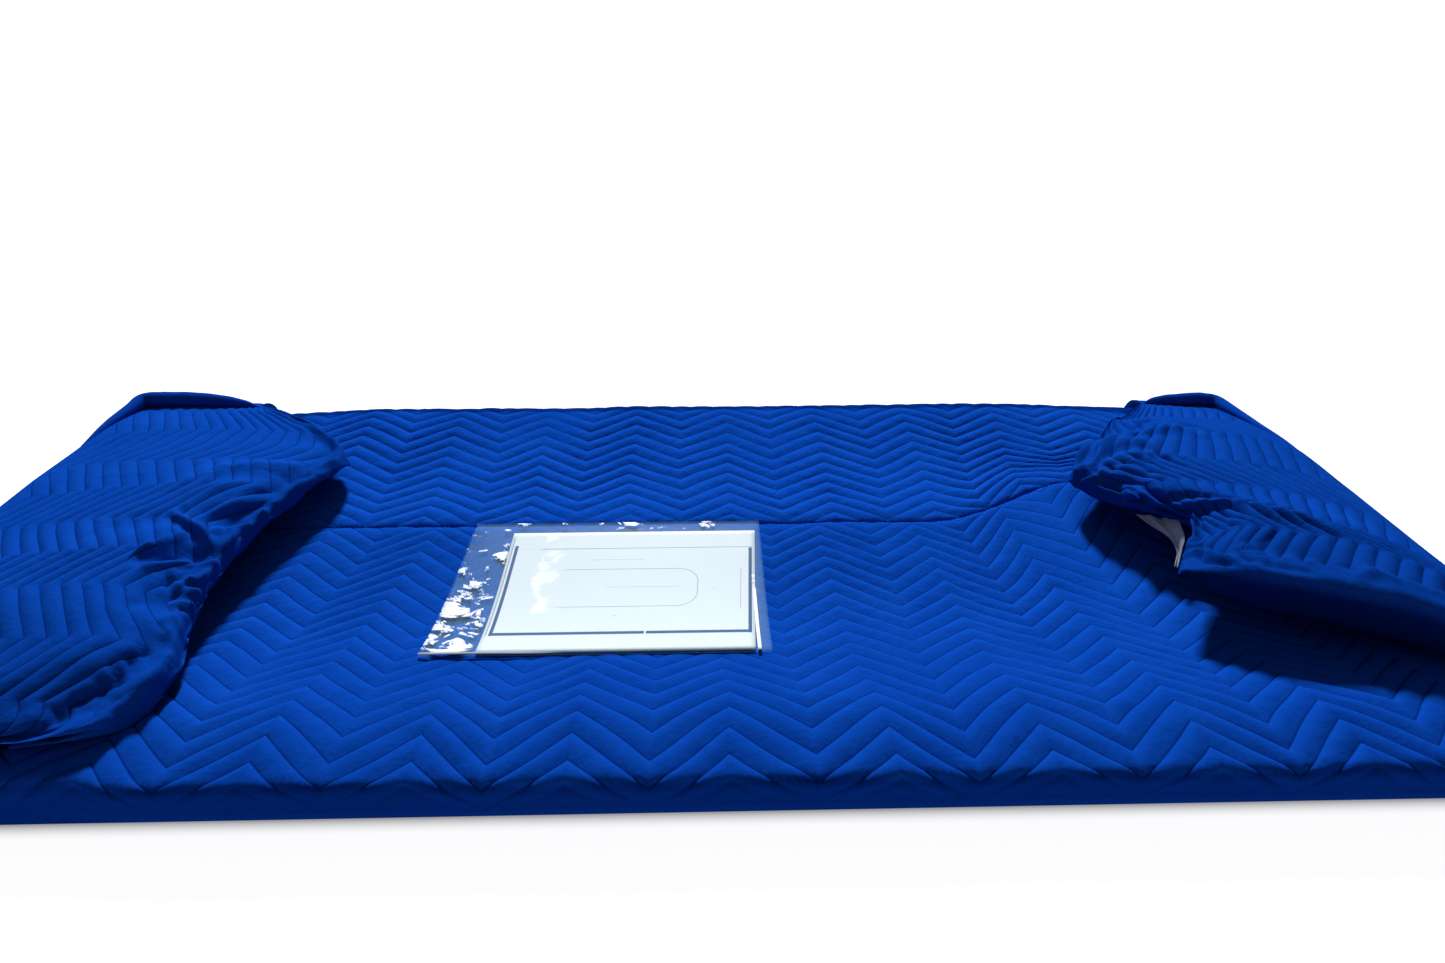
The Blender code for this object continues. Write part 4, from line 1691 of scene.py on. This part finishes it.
@dataclass
class LiningPatch:
    """Flap of lining hanging from the elastic edge of the right pocket."""

    shares: tuple = (0.0, 0.3, 0.6, 0.75, 0.9)
    left: tuple = metres(
        (605, -13, 77), (613, -35, 76.5), (627, -66, 75), (628, -84, 70), (618, -106, 60),
    )
    right: tuple = metres(
        (646, -36, 91), (645, -55, 85), (641, -76, 78), (635, -86, 71), (622, -108, 60),
    )
    thickness: float = 0.002
    edge_thickness: float = 0.25
    edge_width: float = 0.05
    belly: float = 0.005
    ridge: float = 0.003
    ridge_place: tuple = (0.62, -0.3, 0.09)
    groove: float = 0.003
    groove_place: tuple = (0.35, 0.10)
    size: tuple = (0.06, 0.09)
    lumps: Ripple = Ripple(0.0012, 0.02, 51)

    def face(self, along: Array, across: Array, side: float) -> Array:
        """Points of one face of the flap.

        Args:
            along: Shares along its top edge.
            across: Shares from that edge to its tip.
            side: 1 for the outer face and -1 for the inner one.

        Returns:
            The points.
        """
        left, right = np.array(self.left), np.array(self.right)
        normal = np.cross(right[0] - left[0], left[-1] - left[0])
        normal /= np.linalg.norm(normal)
        start, stop = (
            np.stack([smooth_through(self.shares, column, across) for column in line.T], axis=1)
            for line in (left, right)
        )
        middle, slant, width = self.ridge_place
        fold = self.belly * np.sin(np.pi * along)
        fold += self.ridge * bell(along, middle + slant * across, width)
        fold -= self.groove * bell(along, *self.groove_place)
        fold *= 1 - across
        fold += self.lumps.at(along * self.size[0], across * self.size[1])
        near = np.minimum(along, 1 - along)
        near = np.minimum(near, np.minimum(across, self.shares[-1] - across))
        full = rounded_share(near, self.edge_width)
        thick = self.edge_thickness + (1 - self.edge_thickness) * full
        offset = fold + side * self.thickness / 2 * thick
        return start + (stop - start) * along[:, None] + offset[:, None] * normal

    def build(self, finish: bpy.types.Material) -> bpy.types.Object:
        """Makes the flap and puts it in place of its solid.

        Args:
            finish: Its material.

        Returns:
            The object.
        """
        sheet = ClothSheet(
            "lining_flap", (0.0, 1.0), (0.0, self.shares[-1]), column_step=0.03,
            inner_columns=24, inner_rows=24,
        )
        made = sheet.build(lambda a, b: self.face(a, b, 1.0), lambda a, b: self.face(a, b, -1.0))
        dress(made, finish, "lining_patch", "grey_lining")
        return made


@dataclass(frozen=True)
class Plan:
    """Corners of a flat layer of the pouch."""

    left_back: float
    right_back: float
    left_front: float
    right_front: float
    y_back: float
    y_front: float

    @property
    def size(self) -> tuple:
        """Length of its back edge, and its depth."""
        return self.right_back - self.left_back, self.y_back - self.y_front


@dataclass
class Pouch:
    """Clear document pouch with a printed card in it."""

    panel: Panel
    film: Plan = Plan(-0.297, 0.103, -0.299, 0.102, 0.054, -0.230)
    card: Plan = Plan(-0.2406, 0.096, -0.2357, 0.083, 0.030, -0.2262)
    film_thickness: float = 0.0010
    card_thickness: float = 0.0010
    gap: float = 0.0006
    lift: float = 0.0028
    waves: Ripple = Ripple(1.0, 0.06, 61, 1)
    flat_edge: float = 0.12
    column_step: float = 0.008

    def place(self, plan: Plan, u: Array, v: Array, rise: Array) -> Array:
        """Points over the panel.

        Args:
            plan: The layer's corners.
            u: Shares from left to right.
            v: Shares from back to front.
            rise: Heights over the stitch lines.

        Returns:
            The points.
        """
        left = plan.left_back + (plan.left_front - plan.left_back) * v
        right = plan.right_back + (plan.right_front - plan.right_back) * v
        y = plan.y_back + (plan.y_front - plan.y_back) * v
        z = height_at(self.panel.levels, y) + self.lift + rise
        return np.stack((left + (right - left) * u, y, z), axis=1)

    def layer(
        self, name: str, plan: Plan, low: float, thickness: float, sway: float
    ) -> bpy.types.Object:
        """One flat layer of the pouch.

        Args:
            name: Name of the piece.
            plan: Its corners.
            low: Height of its lower face over the lifted stitch lines.
            thickness: Its thickness.
            sway: Height of its soft waves.

        Returns:
            The object.
        """
        width, depth = plan.size

        def face(u: Array, v: Array, rise: float) -> Array:
            """Points of the layer's face at a height over its lower one.

            Args:
                u: Lengths from left to right.
                v: Lengths from back to front.
                rise: The height.

            Returns:
                The points.
            """
            share_u, share_v = u / width, v / depth
            inside = np.minimum(np.minimum(share_u, 1 - share_u), np.minimum(share_v, 1 - share_v))
            wave = sway * self.waves.at(u, v) * ease(inside, 0.0, self.flat_edge)
            return self.place(plan, share_u, share_v, low + rise + wave)

        sheet = ClothSheet(name, (0.0, width), (0.0, depth), column_step=self.column_step)
        return sheet.build(lambda u, v: face(u, v, thickness), lambda u, v: face(u, v, 0.0))

    def build(
        self, front: bpy.types.Material, back: bpy.types.Material, face: bpy.types.Material
    ) -> list:
        """Makes the pouch's pieces and puts them in place of their solids.

        Args:
            front: Finish of the front film.
            back: Finish of the back film.
            face: Finish of the card.

        Returns:
            The objects.
        """
        film, card = self.film_thickness, self.card_thickness
        step = film + self.gap
        top = step + card + self.gap
        made = []
        for name, plan, low, thickness, sway, finish, node, slot in (
            ("film_back", self.film, 0.0, film, 0.0002, back, "pouch_back", "clear_film"),
            ("card_sheet", self.card, step, card, 0.0001, face, "document_card", "white_card"),
            ("film_front", self.film, top, film, 0.0004, front, "pouch_front", "clear_film"),
        ):
            piece = self.layer(name, plan, low, thickness, sway)
            dress(piece, finish, node, slot)
            plan.size
            made.append(piece)
        return made


@dataclass
class Studio:
    """Floor, lights and camera."""

    lens: float = 21.18
    sensor: float = 36.0
    eye: tuple = (0.0296, -0.946, 0.72)
    turn: tuple = (57.983, 0.0, -1.24)
    light_way: tuple = (0.10, -1.25, -1.0)
    light_spread: float = 8.0
    key_strength: float = 5.2
    surround: tuple = (0.95, 0.97, 1.0, 1.0)
    fill_strength: float = 0.17
    floor_size: float = 80.0
    floor_z: float = -0.0002

    def floor(self, finish: bpy.types.Material) -> None:
        """Lays the floor just under the cover.

        Args:
            finish: Its material.
        """
        bpy.ops.object.select_all(action="DESELECT")
        bpy.ops.mesh.primitive_plane_add(size=self.floor_size, location=(0.0, 0.0, self.floor_z))
        bpy.ops.object.transform_apply(location=True)
        made = bpy.context.object
        made.name = "floor"
        made.data.materials.append(finish)

    def lights(self) -> None:
        """Hangs the key light behind the cover on the left, and sets the pale surround."""
        lamp = bpy.data.lights.new("key", "SUN")
        lamp.energy = self.key_strength
        lamp.angle = np.radians(self.light_spread)
        made = bpy.data.objects.new("key", lamp)
        bpy.context.scene.collection.objects.link(made)
        made.rotation_euler = Vector(self.light_way).to_track_quat("-Z", "Y").to_euler()
        world = bpy.data.worlds.new("surround")
        world.use_nodes = True
        inputs = world.node_tree.nodes["Background"].inputs
        inputs["Color"].default_value = self.surround
        inputs["Strength"].default_value = self.fill_strength
        bpy.context.scene.world = world
        bpy.context.scene.view_settings.view_transform = "Standard"

    def camera(self) -> None:
        """Places the camera."""
        data = bpy.data.cameras.new("camera")
        data.lens = self.lens
        data.sensor_width = self.sensor
        made = bpy.data.objects.new("camera", data)
        made.location = self.eye
        made.rotation_euler = tuple(np.radians(self.turn))
        bpy.context.scene.collection.objects.link(made)
        bpy.context.scene.camera = made


# Tables in millimetres and in thousandths of a share. A crease has its width,
# its height, the steepness of its right side and then the points of its path. A drift has places
# along the pocket and the shift at each. A rim has the points of its path with their thickness.
FRONT_LEVELS = tuple(Level(*row) for row in metres(
    (60, 20.5), (35, 22.5), (-50, 22.5), (-120, 24), (-180, 30), (-240, 42.5), (-290, 55),
    (-330, 64), (-362, 66.8), (-405, 63.6),
))
BACK_LEVELS = tuple(Level(*row) for row in metres(
    (60, 20.5), (85, 22.5), (150, 25), (220, 32), (280, 41), (325, 48), (350, 49.5),
))
LEFT_STATIONS = tuple(Station(*row) for row in metres(
    (0, 375, 375, 730, 63, 61, 59, 58), (120, 270, 285, 620, 80, 81, 78, 74),
    (250, 170, 165, 508, 86, 94, 88, 72), (380, 70, 75, 530, 90, 104, 104, 78),
    (500, -30, -28, 556, 90, 110, 113, 84), (620, -130, -126, 560, 90, 112, 119, 86),
    (740, -220, -224, 546, 90, 112, 118, 83), (820, -275, -282, 528, 89, 107, 113, 82),
    (900, -325, -342, 536, 87, 101, 104, 82), (960, -358, -372, 580, 84, 94, 94, 83),
    (1000, -375, -375, 690, 81, 86, 85, 83),
))
RIGHT_STATIONS = tuple(Station(*row) for row in metres(
    (0, 373, 373, 790, 42, 43, 46, 48), (150, 260, 270, 705, 66, 75, 74, 66),
    (300, 150, 175, 622, 86, 102, 102, 77), (450, 40, 78, 548, 90, 116, 116, 84),
    (600, -60, 0, 590, 92, 120, 122, 92), (720, -130, -60, 650, 94, 124, 126, 100),
    (880, -225, -128, 606, 97, 131, 132, 106), (1000, -295, -178, 575, 98, 138, 137, 112),
))
LEFT_CREASES = tuple(Crease.row(*row) for row in metres(
    (20, 8, 0, 325, 500, 420, 352), (16, 7, 0, 395, 500, 450, 388),
    (20, -6, 0, 480, 485, 520, 322), (26, 6, 0, 700, 469, 790, 327),
    (6, 6, 0, 244, 500, 265, 490, 294, 489), (5, -6, 0, 264, 500, 298, 498),
    (6, -4, 0, 251, 476, 294, 471),
    (5, -4, 0, 420, 473, 393, 476, 366, 488, 329, 493, 291, 500),
    (10, 10, 0, 434, 493, 398, 500, 350, 500, 304, 500), (9, 13, 0, 472, 491, 466, 500),
    (4, -8, 0, 479, 487, 461, 472, 448, 474, 454, 497),
    (9, 9, 0, 516, 458, 501, 476, 490, 491, 482, 500),
    (6, -10, 0, 505, 448, 486, 463, 462, 467), (8, 6, 0, 491, 432, 475, 442, 455, 450),
    (8, 12, 0, 491, 386, 509, 417, 526, 444, 536, 463),
    (5, -8, 0, 484, 388, 508, 427, 523, 460), (5, -8, 0, 505, 394, 523, 423, 540, 451),
    (8, 10, 500, 536, 432, 561, 418, 583, 400),
    (9, -16, 0, 591, 413, 583, 433, 565, 453, 551, 486),
    (7, 9, 0, 601, 425, 587, 446, 568, 474, 563, 500), (4, -7, 0, 602, 452, 624, 462),
    (4, -7, 0, 627, 464, 620, 500), (4, -8, 0, 606, 468, 605, 488, 599, 500),
    (5, 6, 0, 613, 465, 597, 476), (6, 8, 0, 586, 487, 599, 500, 618, 500),
    (6, 6, 0, 636, 474, 629, 500), (4, -9, 0, 643, 485, 636, 500, 638, 500),
    (6, 5, 0, 652, 483, 648, 500), (7, 8, 0, 529, 500, 561, 500, 598, 500),
    (5, -8, 0, 544, 495, 576, 500, 606, 500), (5, -6, 0, 502, 498, 519, 499, 537, 500),
    (8, -6, 0, 683, 490, 716, 473, 769, 456, 805, 445, 837, 453),
    (11, 6, 0, 711, 500, 741, 491, 780, 481, 817, 471, 842, 497),
    (4, -6, 0, 760, 445, 777, 464), (4, -6, 0, 745, 450, 762, 468),
    (4, -5, 0, 730, 458, 745, 474), (4, -6, 0, 713, 465, 729, 479),
    (4, -5, 0, 785, 440, 801, 459), (4, -5, 0, 801, 430, 817, 451),
    (5, -6, 0, 694, 475, 711, 487), (5, -6, 0, 669, 484, 687, 495),
    (8, -4, 0, 663, 431, 645, 447, 634, 463), (6, 4, 0, 672, 466, 656, 480),
))
RIGHT_CREASES = tuple(Crease.row(*row) for row in metres(
    (24, 8, 0, 205, 500, 260, 300), (18, 10, 0, 300, 500, 330, 371),
    (22, -6, 0, 600, 500, 640, 280),
    (5, -6, 0, 286, 413, 258, 363, 233, 300, 248, 244, 285, 226),
    (8, 6, 0, 348, 479, 324, 453, 308, 418, 286, 363, 274, 304, 290, 264),
    (5, -6, 0, 365, 470, 340, 445, 335, 415, 339, 378, 362, 362, 386, 346),
    (6, 6, 0, 376, 462, 360, 440, 355, 415, 362, 395, 387, 391),
    (4, -5, 0, 389, 460, 376, 440, 374, 420, 389, 409, 409, 413),
    (6, -10, 0, 373, 500, 372, 481, 366, 462, 350, 448),
    (7, 8, 0, 359, 487, 351, 463, 332, 445), (6, 8, 0, 385, 487, 385, 465, 399, 457),
    (5, -8, 0, 408, 483, 406, 458, 415, 452), (7, 11, 0, 416, 459, 443, 479, 461, 500),
    (7, 10, 0, 439, 458, 460, 471, 475, 482), (4, -8, 0, 425, 458, 451, 479, 466, 500),
    (5, -8, 0, 433, 446, 457, 452, 468, 456), (5, -7, 0, 424, 476, 447, 500, 459, 500),
    (6, 5, 0, 419, 422, 439, 429, 457, 441),
    (14, 10, 500, 473, 500, 478, 425, 491, 391, 517, 342, 526, 284, 544, 251),
    (6, -6, 0, 463, 456, 468, 407, 478, 368, 498, 329, 509, 277),
    (6, -5, 0, 520, 410, 565, 408, 604, 433), (6, -4, 0, 510, 455, 544, 486, 572, 500),
    (5, -9, 0, 602, 500, 594, 464, 624, 438, 623, 412, 618, 388),
    (7, 9, 0, 621, 490, 618, 463, 636, 443, 654, 427), (4, -7, 0, 645, 459, 654, 443, 661, 429),
    (6, 7, 0, 639, 420, 613, 401, 618, 387, 649, 386), (4, -6, 0, 651, 412, 645, 396, 661, 389),
    (6, -6, 0, 657, 395, 661, 368, 661, 340), (6, -5, 0, 572, 345, 608, 378, 648, 381),
    (8, 7, 0, 653, 289, 635, 264, 643, 252), (5, 4, 0, 496, 500, 496, 473, 515, 468),
    (4, -4, 0, 571, 500, 540, 492),
))
LEFT_DRIFT = metres(
    (0, 0), (141, -50), (216, -62), (291, -50), (366, -16), (441, -16), (516, -14), (591, -24),
    (666, -36), (741, -29), (816, -21), (970, 0),
)
RIGHT_DRIFT = metres(
    (0, 0), (141, -10), (216, -18), (291, -21), (366, -8), (441, -11), (516, -3), (591, -28),
    (666, -34),
)
LEFT_RIM = metres(
    (121, 400, 100), (121, 300, 700), (121, 221, 950), (121, 118, 1000), (125, 97, 1000),
    (150, 93, 800), (280, 90, 100),
)
RIGHT_RIM = metres(
    (109, 330, 100), (107, 250, 550), (105, 182, 800), (105, 115, 900), (115, 92, 850),
    (150, 88, 650), (280, 85, 100),
)


def main() -> None:
    """Builds the dressed cover, its floor, lights and camera."""
    logging.basicConfig(level=logging.INFO, format="%(message)s")
    studio = Studio()
    studio.camera()
    studio.lights()
    studio.floor(FloorFinish("floor_white").make())
    # Each light factor below is painted light: a lighter or darker copy of the same satin for how
    # the light falls on that piece.
    front = Panel(
        "panel_front", FRONT_LEVELS, -1, 0.4135, -0.012, 0.78, 0.45, Lean.BACKWARD, puff=0.0030,
        lumps=Ripple(0.0013, 0.09, 5), light=1.02, groove_shade_strength=0.80, nose_share=0.48, bulge=0.010,
        turn_under=0.006, boxy=3.3, past_crest=0.004, pressed=(-0.32, 0.12, -0.25, 0.075),
        fan=(-0.09, 0.03), quilt=Quilt(travel=0.056, peak=0.126, offset=0.0115),
    )
    back = Panel(
        "panel_back", BACK_LEVELS, 1, 0.400, 0.036, 0.50, 0.80, Lean.EVEN, puff=0.0027,
        lumps=Ripple(0.0008, 0.09, 5), light=1.18, groove_shade_strength=0.46,
    )
    left = Pocket(
        "hood_left", Side.LEFT, LEFT_STATIONS, LEFT_CREASES, LEFT_DRIFT, front_wall=True,
        puff=0.0027, pucker_height=0.0032, corner=0.068, quilt=Quilt(travel=0.056), light=0.97,
        painted_dim_past=(0.60, 0.82),
    )
    right = Pocket(
        "hood_right", Side.RIGHT, RIGHT_STATIONS, RIGHT_CREASES, RIGHT_DRIFT, front_wall=False,
        puff=0.0034, pucker_height=0.0045, corner=0.064, quilt=Quilt(travel=0.054), light=0.86,
        painted_dim_past=(0.48, 0.62), apron=0.074,
    )
    made = [cloth.build() for cloth in (front, back, left, right)]
    binding = PlainFinish(
        "blue_binding_cloth", (0.0022, 0.042, 0.31, 1), (0.0026, 0.050, 0.35, 1), 0.6, gloss=0.0
    ).make()
    made.append(Rim("rim_left", left, LEFT_RIM).build(binding))
    made.append(Rim("rim_right", right, RIGHT_RIM).build(binding))
    grey = PlainFinish("grey_lining_cloth", (0.20, 0.24, 0.34, 1), (0.40, 0.45, 0.55, 1), 0.45)
    made.append(LiningPatch().build(grey.make()))
    film = ClearFilm("clear_film_front").make()
    film_back = ClearFilm("clear_film_back", glare_painted=False).make()
    made += Pouch(front).build(film, film_back, PrintedCard("white_card_face").make())
    for piece in made:
        log.info("%s: %d faces", piece.name, len(piece.data.polygons))


if __name__ == "__main__":
    main()
